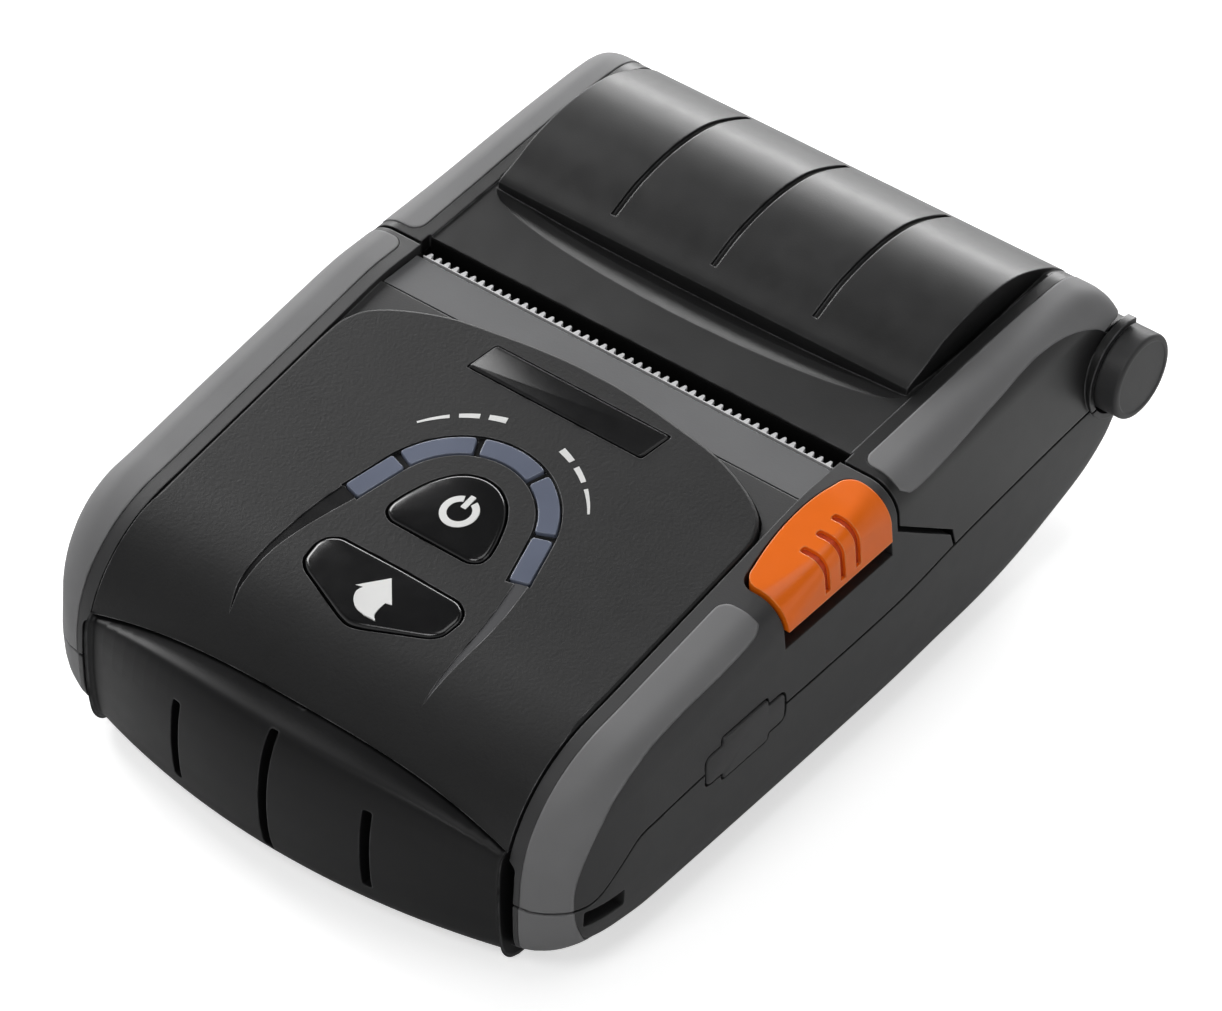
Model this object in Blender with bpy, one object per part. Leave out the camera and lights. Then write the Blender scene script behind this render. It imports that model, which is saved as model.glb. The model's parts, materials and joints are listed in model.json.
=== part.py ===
# Portable thermal printer: a palm-sized receipt printer with a hinged paper cover.
# Metres. X runs to the lever side, Y to the rear, Z up. The origin is on the table, under the middle.

import math

import bmesh
import bpy
from mathutils import Matrix, Vector

for leftover in list(bpy.data.objects):
    bpy.data.objects.remove(leftover, do_unlink=True)


# The print roller's half length sets the width of the mechanism and of the case round it.
platen_half = 0.0282
side_room = 0.0113

# Whole body. The outlines below are shares of its length, half width and height.
body_length = 0.112
body_height = 0.0388
wall = 0.0018
fit_gap = 0.0003
seam_gap = 0.0004
overrun = 0.004
half_length = body_length / 2
half_width = platen_half + side_room

# Side view of the rail tops, front to rear: shares of length and height.
rail_shares = [
    (-0.4554, 0.270), (-0.4545, 0.335), (-0.4500, 0.408), (-0.4420, 0.475), (-0.4295, 0.538),
    (-0.4135, 0.592), (-0.3940, 0.638), (-0.3700, 0.675), (-0.3390, 0.702), (-0.2946, 0.7216),
    (-0.1040, 0.8105), (0.0089, 0.8634), (0.0400, 0.8670), (0.0728, 0.8680), (0.1786, 0.8850),
    (0.2679, 0.9020), (0.3393, 0.9115), (0.4018, 0.9124), (0.4290, 0.9040), (0.4464, 0.8810),
    (0.4607, 0.8400), (0.4705, 0.7880), (0.4755, 0.7320), (0.4768, 0.6700)]
# The sloping stretch of that line carries the front panel: its first and last points.
slope_first_share = (-0.2946, 0.7216)
slope_last_share = (0.0089, 0.8634)
# Side view of the underside.
bottom_shares = [
    (-0.4554, 0.130), (-0.4500, 0.098), (-0.4300, 0.060), (-0.4050, 0.036), (-0.3700, 0.016),
    (-0.3350, 0.004), (-0.3000, 0.0), (0.1900, 0.0), (0.2500, 0.010), (0.3036, 0.035),
    (0.3571, 0.078), (0.4150, 0.146), (0.4490, 0.230), (0.4670, 0.335), (0.4740, 0.440),
    (0.4768, 0.560)]
# Plan view: share of length, share of the half width.
plan_shares = [
    (-0.4554, 0.772), (-0.4535, 0.822), (-0.4470, 0.871), (-0.4350, 0.917), (-0.4150, 0.957),
    (-0.3880, 0.982), (-0.3480, 0.996), (-0.2950, 1.0), (0.0728, 1.0), (0.1700, 0.992),
    (0.2679, 0.988), (0.3571, 0.985), (0.4290, 0.985), (0.4550, 0.984), (0.4768, 0.972)]
# Side view of the seam between the lower case and what closes it.
parting_shares = [
    (-0.60, 0.278), (-0.4500, 0.280), (-0.4070, 0.292), (-0.3740, 0.372), (-0.3450, 0.438),
    (-0.3190, 0.448), (-0.2500, 0.461), (0.0700, 0.466), (0.1640, 0.487), (0.2700, 0.510),
    (0.4020, 0.534), (0.4500, 0.545), (0.60, 0.548)]
shoulder_radius = 0.0040
belly_radius = 0.0080
corner_limit_share = 0.34
least_corner_share = 0.125
upper_lean_share = 0.09
lower_lean_share = 0.05
arc_steps = 5

# Seam between the upper case and the paper cover.
cover_seam_share = 0.0728
cover_seam_y = cover_seam_share * body_length
cover_seam_gap = 0.0005
seam_elbow_drop = 0.0055
seam_foot_back = 0.0098
seam_foot_rise = 0.0022
seam_toe_back = 0.0004

# Hinge.
cap_radius = 0.0054
cap_reach = 0.0027
cap_edge = 0.0004
cap_sink = 0.0002
cap_floor = 0.0006
hinge_height_share = 0.616
hinge_height = hinge_height_share * body_height
hinge_y = half_length - cap_radius
hinge_pin_radius = 0.0016
hinge_pin_gap = 0.00015
knuckle_radius = 0.0044
knuckle_inset = 0.0065
knuckle_half = half_width - knuckle_inset
tower_gap = 0.0003
tower_thickness = 0.0042
hinge_clearance = 0.0005
pin_depth = 0.0090
collar_thickness = 0.0007
collar_proud = 0.0005
collar_gap = 0.0004

# Front panel and what sits in it.
rail_width = 0.0091
trough_half = half_width - rail_width
trough_drop = 0.0008
panel_side_gap = 0.0003
panel_half = trough_half - panel_side_gap
panel_rise = 0.0002
panel_thickness = 0.0026
deck_thickness = 0.0014
panel_to_seam = 0.00575
panel_top_y = cover_seam_y - panel_to_seam
panel_marker_share = -0.17857
panel_marker_y = panel_marker_share * body_length
# Top edge of the panel in plan: shares of its half width and distances ahead of the top.
arch_shares = [(1.0, 0.482), (0.9934, 0.368), (0.980, 0.3225), (0.950, 0.262), (0.864, 0.186),
               (0.658, 0.0873), (0.4485, 0.0437), (0.266, 0.0152), (0.10, 0.0), (0.0, 0.0)]
arch_depth = 0.0260

# Status light band, in the panel's own plane, about its centre.
band_centre = -0.00315
band_inner = 0.0096
band_outer = 0.0122
guide_end_degrees = 104
arc_step_degrees = 9
window_degree_spans = [(-102, -70), (-66, -25), (-21, 21), (25, 66), (70, 102)]
window_gap = 0.00015
guide_thickness = 0.0009
guide_margin = 0.0006

tail_top = -0.00585
tail_length = 0.01885
tail_out = 0.0113
tail_width = 0.0023
tail_depth = 0.0003
# Crescent tail: share of its width out, share of its length down.
tail_shares = [(0.48, 0.0), (0.78, 0.13), (1.0, 0.29), (1.0, 0.44), (0.91, 0.63), (0.91, 0.78), (0.96, 1.0),
               (0.78, 0.80), (0.74, 0.645), (0.565, 0.45), (0.39, 0.31), (0.30, 0.18), (0.0, 0.025)]

badge_width = 0.0250
badge_height = 0.0042
badge_to_top = 0.00495
badge_thickness = 0.0005
badge_proud = 0.0002

# Buttons: outlines in shares of the half width and of the height, from the bottom centre.
power_width = 0.0140
power_height = 0.0106
power_bottom = -0.00705
power_shares = [(0.0, 0.0), (0.80, 0.0), (0.97, 0.07), (1.0, 0.18), (0.94, 0.36), (0.78, 0.64),
                (0.55, 0.85), (0.28, 0.965), (0.0, 1.0)]
feed_width = 0.0206
feed_height = 0.0092
feed_bottom = -0.02115
feed_shares = [(0.0, 0.0), (0.15, 0.04), (0.86, 0.36), (0.97, 0.47), (1.0, 0.76), (0.95, 0.89),
               (0.82, 0.985), (0.0, 1.0)]
button_gap = 0.00025
button_proud = 0.0005
button_depth = 0.0040
button_edge = 0.0004
button_travel = 0.0005

mat_clearance = 0.0001
mat_gap = button_travel + mat_clearance
mat_thickness = 0.0008
board_gap = 0.0003
board_thickness = 0.0012
board_inset = 0.0039
board_half = panel_half - board_inset
board_front = -0.0150
board_end_gap = 0.0013
mat_half = 0.0118
mat_overhang = 0.00625
mat_rear = 0.0052
chip_length = 0.0110
chip_width = 0.0140
chip_height = 0.0014
buzzer_radius = 0.0042
buzzer_height = 0.0018

# Cover plate, tear bar and paper slot.
plate_to_seam = 0.00115
plate_length = 0.0059
plate_rear_y = cover_seam_y - plate_to_seam
plate_front_y = plate_rear_y - plate_length
plate_thickness = 0.0012
plate_side_gap = 0.0002
tear_overhang = 0.0014
tear_half = platen_half + tear_overhang
tear_thickness = 0.0005
tear_reach = 0.0002
tear_tip_y = cover_seam_y + tear_reach
tooth_depth = 0.0006
tooth_pitch = 0.0013
tear_leg_thickness = 0.0004
slot_reach = 0.0018
slot_rear_y = cover_seam_y + slot_reach

# Nose: the end of the battery pack.
nose_gap = 0.0003
nose_side_gap = 0.0004
nose_half = trough_half - nose_side_gap
nose_back_share = -0.39554
nose_back_y = nose_back_share * body_length
# Side view of the nose at its middle and at its ends: shares of length and height.
nose_middle_shares = [
    (-0.4080, 0.5080), (-0.4330, 0.5150), (-0.4590, 0.5260), (-0.4740, 0.5180), (-0.4860, 0.4750),
    (-0.4950, 0.4000), (-0.4990, 0.3250), (-0.5, 0.2500), (-0.4970, 0.1500), (-0.4890, 0.0780),
    (-0.4740, 0.0340), (-0.4500, 0.0200)]
nose_end_shares = [
    (-0.4400, 0.4390), (-0.4465, 0.4400), (-0.4500, 0.4330), (-0.4515, 0.4250), (-0.4540, 0.3860),
    (-0.4550, 0.3300), (-0.4555, 0.2600), (-0.4550, 0.2000), (-0.4530, 0.1300), (-0.4490, 0.0800),
    (-0.4400, 0.0450), (-0.4280, 0.0300)]
nose_steps = 12
# Height of the seam over the nose at its middle and at its ends, and how sharply it drops between.
seam_middle_share = 0.5193
seam_end_share = 0.4459
seam_power = 3
nose_groove_pitch = 0.0138
nose_groove_width = 0.0013
nose_groove_depth = 0.0006
# Lower and upper ends of the outer grooves and of the middle one: shares of the height.
groove_end_shares = (0.1443, 0.4330)
middle_groove_end_shares = (0.0850, 0.5155)

# Battery pack, its bay, its contacts and its latch.
battery_inset = 0.0040
battery_half = nose_half - battery_inset
battery_bottom = 0.0025
battery_head_room = 0.0009
battery_to_frame = 0.0052
bay_gap = 0.0004
bay_wall = 0.0015
contact_half = 0.0070
contact_depth = 0.0030
contact_low = 0.0070
contact_high = 0.0120
latch_share = -0.3125
latch_y = latch_share * body_length
latch_length = 0.0080
latch_width = 0.0140
latch_thickness = 0.0008
latch_sink = 0.0002
latch_bolt = 0.0030
latch_bolt_rise = 0.0017
latch_travel = 0.0030
latch_gap = 0.0003

# Grip strips.
grip_depth = 0.0008
grip_proud = 0.00008
grip_seat_gap = 0.0004
grip_edge_gap = 0.0002
grip_reach = 0.0073
lower_grip_reach = 0.0075
grip_inner_x = half_width - grip_reach
lower_grip_inner_x = half_width - lower_grip_reach
# Side view of the lower edges: shares of length and height.
front_grip_shares = [
    (-0.1390, 0.7750), (-0.1480, 0.7600), (-0.1900, 0.7370), (-0.2800, 0.7010), (-0.3390, 0.6650),
    (-0.3750, 0.6090), (-0.3970, 0.5300), (-0.4130, 0.4400), (-0.4220, 0.3600), (-0.4250, 0.2700)]
left_grip_shares = [
    (0.0640, 0.9000), (0.0640, 0.8300), (0.0560, 0.8120), (-0.0200, 0.7990), (-0.1480, 0.7560),
    (-0.1900, 0.7370), (-0.2800, 0.7010), (-0.3390, 0.6650), (-0.3750, 0.6090), (-0.3970, 0.5300),
    (-0.4130, 0.4400), (-0.4220, 0.3600), (-0.4250, 0.2700)]
corner_grip_shares = [
    (-0.4250, 0.2900), (-0.4200, 0.2050), (-0.4060, 0.1280), (-0.3800, 0.0700), (-0.3480, 0.0400),
    (-0.3400, 0.0100)]
cover_grip_shares = [
    (0.0850, 0.9500), (0.0850, 0.8330), (0.0950, 0.8130), (0.1400, 0.8130), (0.2450, 0.8500),
    (0.3250, 0.8740), (0.3800, 0.8590), (0.4170, 0.8120), (0.4420, 0.7450)]

# Open lever, its pocket and its pusher.
lever_to_seam = 0.00175
lever_length = 0.0189
lever_rear_y = cover_seam_y - lever_to_seam
lever_front_y = lever_rear_y - lever_length
lever_reach = 0.0079
lever_inner_x = half_width - lever_reach
lever_bow = 0.00085
lever_corner = 0.0020
lever_corner_steps = 4
lever_low_drop = 0.0045
lever_travel = 0.0020
lever_gap = 0.0004
lever_proud = 0.0004
pocket_reserve = 0.0009
pocket_wall = 0.0014
pusher_thickness = 0.0016
pusher_inset = 0.0073
pusher_x = half_width - pusher_inset
pusher_width = 0.0024
pusher_gap = 0.0005
rib_pitch = 0.0028
rib_width = 0.0009
rib_depth = 0.0004
rib_first_back = 0.0071
rib_inset = 0.0050
rib_inner_x = half_width - rib_inset
rib_count = 3

# Paper cover: barrel roof, deck scoop and roof grooves.
barrel_inset = 0.0007
barrel_half = trough_half - barrel_inset
barrel_shares = [
    (0.1890, 0.880), (0.1905, 0.9010), (0.2165, 0.9310), (0.2520, 0.9720), (0.2900, 0.9940),
    (0.3200, 1.0), (0.3480, 0.9960), (0.3780, 0.9800), (0.4120, 0.9400), (0.4440, 0.8870),
    (0.4650, 0.8310), (0.4720, 0.7700), (0.4720, 0.7000)]
scoop_depth = 0.0009
scoop_reach = 0.0052
scoop_segments = 28
scoop_rings = 8
roof_groove_pitch = 0.01465
roof_groove_width = 0.0008
roof_groove_depth = 0.0005
roof_groove_front_inset = 0.0027
roof_groove_rear_inset = 0.0032

# Platen roller and its holder.
platen_behind_seam = 0.0048
platen_drop = 0.0071
platen_radius = 0.0042
platen_shaft_radius = 0.0015
sleeve_gap = 0.00012
bush_radius = 0.0024
bush_length = 0.0014
holder_thickness = 0.0012
holder_gap = 0.0004
holder_bar_depth = 0.0030
holder_bar_height = 0.0011
holder_cheek_half = 0.0024
shaft_end_gap = 0.0002

# Gears.
gear_module = 0.0005
platen_teeth = 17
small_teeth = 14
large_teeth = 30
pinion_teeth = 10
gear_width = 0.0016
gear_plane_gap = 0.0003
addendum_share = 0.80
dedendum_share = 1.25
root_width_share = 0.66
tip_width_share = 0.20
reduction_bearing_degrees = 241.5
axle_radius = 0.0011

# Mechanism frame, print head, motor and lock.
frame_side_gap = 0.0016
frame_half = platen_half + frame_side_gap
frame_thickness = 0.0010
# Places of the frame's edges, ahead of or behind the cover's seam.
frame_front_reach = 0.01415
frame_rear_reach = 0.00885
frame_step_reach = 0.00065
frame_wall_reach = 0.00715
frame_front_y = cover_seam_y - frame_front_reach
frame_rear_y = cover_seam_y + frame_rear_reach
frame_step_y = cover_seam_y + frame_step_reach
frame_wall_y = cover_seam_y - frame_wall_reach
frame_wall_height = 0.0013
frame_wall_lift = 0.0008
frame_top_gap = 0.0006
head_end_gap = 0.0002
head_half = platen_half - head_end_gap
head_depth = 0.0030
head_strip_depth = 0.0010
head_over_motor = 0.0065
head_high_gap = 0.0006
platen_touch_gap = 0.0003
head_spring_half = 0.0080
head_spring_sheet = 0.0003
cable_half = 0.0090
cable_thickness = 0.0003
motor_radius = 0.0068
motor_length = 0.0130
motor_shaft_radius = 0.00075
motor_drop = 0.0119
motor_floor_gap = 0.0014
post_least = 0.0010
lock_reach = 0.00235
lock_drop = 0.0112
lock_shaft_y = cover_seam_y + lock_reach
lock_shaft_radius = 0.00125
lock_lever_width = 0.0026
lock_lever_thickness = 0.0008
lock_lever_gap = 0.0003
crank_length = 0.0090
crank_width = 0.0026
spring_turns = 3
spring_wire = 0.0003
spring_pitch = 0.0011
spring_points = 9
spring_sides = 6
post_radius = 0.0022
frame_post_x = 0.0100
frame_post_back = 0.0140
frame_post_y = frame_front_y + frame_post_back
frame_screw_bite = 0.0022
frame_screw_gap = 0.0003
eye_arc_steps = 6
sensor_half = 0.0030
sensor_depth = 0.0022
sensor_height = 0.0034

# Roll tray.
tray_end_gap = 0.0002
tray_half = frame_half - tray_end_gap
tray_thickness = 0.0012
tray_to_lock = 0.0029
tray_to_hinge = 0.0052
tray_drop = 0.0087
tray_arc_steps = 20
tray_floor_gap = 0.0007

# Connector door, socket and strap slots.
door_to_screw = 0.0105
door_height_share = 0.4588
door_z = door_height_share * body_height
door_long = 0.0140
door_low_height = 0.0040
door_short = 0.0080
door_tall_height = 0.0060
door_thickness = 0.0011
door_gap = 0.0003
door_proud = 0.0001
socket_width = 0.0074
socket_height = 0.0036
socket_depth = 0.0056
socket_wall = 0.0005
port_board_length = 0.0120
port_board_thickness = 0.0010
strap_along_share = -0.3902
strap_height_share = 0.2371
strap_y = strap_along_share * body_length
strap_z = strap_height_share * body_height
strap_length = 0.0056
strap_height = 0.0024

# Screws.
screw_head_radius = 0.0019
screw_head_height = 0.0013
screw_radius = 0.0010
screw_gap = 0.0003
screw_bite = 0.0045
boss_radius = 0.0028
boss_split = 0.0130
front_screw_inset = 0.0087
rear_screw_inset = 0.0080
front_screw_share = -0.3393
rear_screw_to_frame = 0.0040
front_screw_x = half_width - front_screw_inset
rear_screw_x = half_width - rear_screw_inset
front_screw_y = front_screw_share * body_length
rear_screw_y = frame_front_y - rear_screw_to_frame
door_y = rear_screw_y - door_to_screw
screw_recess = 0.0032

round_sides = 24
small_round_sides = 12
corner_share = 0.45
tiny = 1e-9


# Finishes: colour, roughness, metallic.
finishes = {
    "case": ((0.050, 0.051, 0.053, 1), 0.48, 0.0),
    "black": ((0.020, 0.020, 0.022, 1), 0.38, 0.0),
    "panel": ((0.014, 0.014, 0.015, 1), 0.52, 0.0),
    "plate": ((0.075, 0.076, 0.080, 1), 0.50, 0.0),
    "grip": ((0.165, 0.166, 0.170, 1), 0.62, 0.0),
    "gloss": ((0.008, 0.008, 0.009, 1), 0.12, 0.0),
    "window": ((0.26, 0.31, 0.46, 1), 0.20, 0.0),
    "orange": ((0.86, 0.235, 0.015, 1), 0.28, 0.0),
    "steel": ((0.60, 0.60, 0.61, 1), 0.28, 1.0),
    "zinc": ((0.42, 0.42, 0.43, 1), 0.42, 1.0),
    "rubber": ((0.030, 0.030, 0.031, 1), 0.80, 0.0),
    "gear": ((0.72, 0.71, 0.66, 1), 0.45, 0.0),
    "board": ((0.015, 0.110, 0.045, 1), 0.45, 0.0),
    "ceramic": ((0.55, 0.52, 0.46, 1), 0.30, 0.0),
    "brass": ((0.66, 0.50, 0.22, 1), 0.32, 1.0),
    "cable": ((0.52, 0.36, 0.16, 1), 0.40, 0.0),
}


def paint(piece, finish):
    """Gives a piece a material of its own in the named finish."""
    colour, roughness, metallic = finishes[finish]
    material = bpy.data.materials.new(piece.name + "_" + finish)
    material.use_nodes = True
    shader = material.node_tree.nodes["Principled BSDF"]
    shader.inputs["Base Color"].default_value = colour
    shader.inputs["Roughness"].default_value = roughness
    shader.inputs["Metallic"].default_value = metallic
    material.diffuse_color = colour
    piece.data.materials.append(material)
    return piece


def solid(name, form, finish):
    """Turns a bmesh into an object whose faces all point out. Without a finish it is a cutter."""
    bmesh.ops.recalc_face_normals(form, faces=form.faces)
    mesh = bpy.data.meshes.new(name)
    form.to_mesh(mesh)
    form.free()
    piece = bpy.data.objects.new(name, mesh)
    bpy.context.scene.collection.objects.link(piece)
    if finish:
        paint(piece, finish)
    else:
        piece.hide_render = True
        piece.display_type = "WIRE"
    return piece


def loft(name, rings, finish=None):
    """Skins a row of equal rings and closes both ends."""
    form = bmesh.new()
    rows = [[form.verts.new(point) for point in ring] for ring in rings]
    for first, second in zip(rows, rows[1:]):
        for index in range(len(first)):
            following = (index + 1) % len(first)
            form.faces.new((first[index], first[following], second[following], second[index]))
    form.faces.new(rows[0])
    form.faces.new(rows[-1])
    return solid(name, form, finish)


def prism_x(name, outline, low, high, finish=None):
    """Runs a side view outline of (y, z) points from x = low to x = high."""
    return loft(name, [[(x, y, z) for y, z in outline] for x in (low, high)], finish)


def prism_y(name, outline, low, high, finish=None):
    """Runs a front view outline of (x, z) points from y = low to y = high."""
    return loft(name, [[(x, y, z) for x, z in outline] for y in (low, high)], finish)


def prism_z(name, outline, low, high, finish=None):
    """Runs a plan outline of (x, y) points from z = low to z = high."""
    return loft(name, [[(x, y, z) for x, y in outline] for z in (low, high)], finish)


def box(name, low, high, finish=None):
    outline = [(low[0], low[1]), (high[0], low[1]), (high[0], high[1]), (low[0], high[1])]
    return prism_z(name, outline, low[2], high[2], finish)


def circle(centre, radius, sides):
    """Points of a circle round a centre, in the plane of any two axes."""
    turn = 2 * math.pi / sides
    return [(centre[0] + radius * math.cos(turn * step), centre[1] + radius * math.sin(turn * step))
            for step in range(sides)]


def rod_x(name, centre, radius, low, high, finish=None, sides=round_sides):
    return prism_x(name, circle(centre, radius, sides), low, high, finish)


def rod_z(name, centre, radius, low, high, finish=None, sides=small_round_sides):
    return prism_z(name, circle(centre, radius, sides), low, high, finish)


def combine(piece, other, operation):
    other.hide_render = True
    other.display_type = "WIRE"
    step = piece.modifiers.new(operation.lower() + "_" + other.name, "BOOLEAN")
    step.operation = operation
    step.solver = "EXACT"
    step.object = other
    return piece


def cut(piece, *cutters):
    for cutter in cutters:
        combine(piece, cutter, "DIFFERENCE")
    return piece


def fuse(piece, *additions):
    for addition in additions:
        combine(piece, addition, "UNION")
    return piece


def keep(piece, *limits):
    for limit in limits:
        combine(piece, limit, "INTERSECT")
    return piece


def shade(piece, degrees=35):
    piece.data.shade_smooth()
    piece.data.set_sharp_from_angle(angle=math.radians(degrees))
    return piece


def pivot(name, location):
    """An empty on a joint's axis, which carries the pieces that move about it."""
    marker = bpy.data.objects.new(name, None)
    marker.location = location
    bpy.context.scene.collection.objects.link(marker)
    return marker


def carry(marker, *pieces):
    """Hangs pieces on a marker, with their origins on it and their places kept."""
    spot = Matrix.Translation(marker.location)
    for piece in pieces:
        piece.data.transform(spot.inverted())
        piece.parent = marker
    return pieces


def settle(piece):
    """Moves a fixed piece's origin to the middle of its own mesh."""
    points = [vertex.co for vertex in piece.data.vertices]
    middle = Vector([(min(p[axis] for p in points) + max(p[axis] for p in points)) / 2 for axis in range(3)])
    piece.data.transform(Matrix.Translation(-middle))
    piece.location = middle
    return piece


# Outlines and the body's cross section

def scaled(shares):
    return [(along * body_length, up * body_height) for along, up in shares]


def offset_line(points, distance):
    """Moves an open line of points sideways, to the right of its direction for a positive distance."""
    moved = []
    for index, (a, b) in enumerate(points):
        before = points[max(index - 1, 0)]
        after = points[min(index + 1, len(points) - 1)]
        run = after[0] - before[0]
        rise = after[1] - before[1]
        length = math.hypot(run, rise)
        moved.append((a + distance * rise / length, b - distance * run / length))
    return moved


def value_at(points, place):
    """Reads a line of points at a place along it, level beyond its ends."""
    if place <= points[0][0]:
        return points[0][1]
    for (a, low), (b, high) in zip(points, points[1:]):
        if place <= b:
            return low + (high - low) * (place - a) / max(b - a, tiny)
    return points[-1][1]


rail_line = scaled(rail_shares)
slope_first = (slope_first_share[0] * body_length, slope_first_share[1] * body_height)
slope_last = (slope_last_share[0] * body_length, slope_last_share[1] * body_height)
slope_rate = (slope_last[1] - slope_first[1]) / (slope_last[0] - slope_first[0])
tilt = math.atan(slope_rate)
bottom_line = scaled(bottom_shares)
plan_line = [(along * body_length, out * half_width) for along, out in plan_shares]
parting_line = scaled(parting_shares)
body_front = rail_line[0][0]
body_rear = rail_line[-1][0]


def arc(centre, radius, first, last, steps=arc_steps):
    """Points of an arc between two angles in degrees, both ends included."""
    points = []
    for step in range(steps + 1):
        angle = math.radians(first + (last - first) * step / steps)
        points.append((centre[0] + radius * math.cos(angle), centre[1] + radius * math.sin(angle)))
    return points


def half_section(y, side=0.0, top=0.0, bottom=0.0):
    """The right half of the body's cross section, bottom to top, drawn in by the three insets."""
    half = value_at(plan_line, y) - side
    roof = value_at(offset_line(rail_line, top), y)
    floor = value_at(offset_line(bottom_line, -bottom), y)
    limit = corner_limit_share * (roof - floor)
    shoulder = min(max(shoulder_radius - top, shoulder_radius * least_corner_share), limit)
    belly = min(max(belly_radius - bottom, belly_radius * least_corner_share), limit)
    waist = min(max(value_at(parting_line, y), floor + belly), roof - shoulder)
    low_half = half - lower_lean_share * (waist - floor - belly)
    high_half = half - upper_lean_share * (roof - shoulder - waist)
    points = arc((low_half - belly, floor + belly), belly, -90, 0)
    points.append((half, waist))
    points += arc((high_half - shoulder, roof - shoulder), shoulder, 0, 90)
    return points


def full_section(y, side=0.0, top=0.0, bottom=0.0):
    right = half_section(y, side, top, bottom)
    left = [(-x, z) for x, z in reversed(right)]
    return [(x, y, z) for x, z in right + left]


def stations(low, high):
    """The outlines' own stations between two places, with both places."""
    places = sorted({round(y, 7) for y, _ in rail_line + plan_line + bottom_line})
    merged = [low]
    for place in places:
        if merged[-1] + wall / 3 < place < high - wall / 3:
            merged.append(place)
    return merged + [high]


def body_form(name, low=body_front, high=body_rear, side=0.0, top=0.0, bottom=0.0):
    return loft(name, [full_section(y, side, top, bottom) for y in stations(low, high)])


def swollen_form(name, outset):
    """The whole body grown by a small outset: what skins are trimmed from."""
    return body_form(name, side=-outset, top=-outset, bottom=-outset)


def shell(name, finish, outset=0.0):
    """The whole body as a piece of its own with a finish, to be trimmed and hollowed."""
    piece = swollen_form(name, outset)
    if finish:
        piece.hide_render = False
        piece.display_type = "TEXTURED"
        paint(piece, finish)
    return piece


def side_chamber(name, sign, low, high, inner_x):
    """A hollow beside the battery bay, from an upright wall out to the case's side wall."""
    rings = []
    for y in stations(low, high):
        outer = half_section(y, wall, wall, wall)
        ring = [(inner_x, outer[0][1])] + outer + [(inner_x, outer[-1][1])]
        rings.append([(sign * x, y, z) for x, z in ring])
    return loft(name, rings)


def roof_at(y):
    return value_at(rail_line, y)


far_below = -overrun
far_above = body_height + overrun
far_out = half_width + cap_reach + overrun
far_front = -half_length - overrun
far_rear = half_length + overrun


def above(line):
    """A side view region above a line, far past the body's ends."""
    front = [(far_front, far_above), (far_front, line[0][1])]
    return front + line + [(far_rear, line[-1][1]), (far_rear, far_above)]


seam_foot_y = cover_seam_y + seam_foot_back
seam_toe_y = seam_foot_y + seam_toe_back
seam_foot = (seam_foot_y, value_at(parting_line, seam_foot_y) + seam_foot_rise)
seam_toe = (seam_toe_y, value_at(parting_line, seam_toe_y))
seam_elbow = (cover_seam_y, roof_at(cover_seam_y) - seam_elbow_drop)
parting_before = [(y, z) for y, z in parting_line if far_front < y < seam_toe[0] - wall]
parting_after = [(y, z) for y, z in parting_line if seam_toe[0] + wall < y < far_rear]


def lower_region():
    lowered = [(y, z - seam_gap / 2) for y, z in parting_before + [seam_toe] + parting_after]
    lowered = [(far_front, lowered[0][1])] + lowered + [(far_rear, lowered[-1][1])]
    return lowered + [(far_rear, far_below), (far_front, far_below)]


def upper_region():
    back = cover_seam_gap / 2
    raised = [(far_front, parting_before[0][1] + seam_gap / 2)]
    raised += [(y, z + seam_gap / 2) for y, z in parting_before]
    raised += [(seam_toe[0] - back, seam_toe[1] + seam_gap / 2), (seam_foot[0] - back, seam_foot[1] - back)]
    raised += [(seam_elbow[0] - back, seam_elbow[1] - back), (seam_elbow[0] - back, far_above)]
    return raised + [(far_front, far_above)]


def cover_region():
    back = cover_seam_gap / 2
    raised = [(seam_elbow[0] + back, far_above), (seam_elbow[0] + back, seam_elbow[1] + back)]
    raised += [(seam_foot[0] + back, seam_foot[1] + back), (seam_toe[0] + back, seam_toe[1] + seam_gap / 2)]
    raised += [(y, z + seam_gap / 2) for y, z in parting_after]
    return raised + [(far_rear, parting_after[-1][1] + seam_gap / 2), (far_rear, far_above)]


# Places that several pieces share
platen_centre = (cover_seam_y + platen_behind_seam, roof_at(cover_seam_y + platen_behind_seam) - platen_drop)
hinge_centre = (hinge_y, hinge_height)
lever_middle_y = (lever_front_y + lever_rear_y) / 2
lever_low = roof_at(lever_middle_y) - lever_low_drop
pocket_low = lever_low - lever_travel - pocket_reserve
deck_under = panel_thickness - panel_rise + fit_gap + deck_thickness
plate_top = roof_at(plate_front_y) - trough_drop
plate_under = plate_top - plate_thickness
battery_rear_y = frame_front_y - battery_to_frame
bay_rear_y = battery_rear_y + bay_gap
room_front_y = bay_rear_y + bay_wall
bay_half = battery_half + bay_gap
pocket_back_y = nose_back_y + nose_gap
tower_low = knuckle_half + tower_gap
tower_face = tower_low + tower_thickness
cap_back = tower_face + fit_gap
hinge_side = value_at(plan_line, hinge_y)
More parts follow.
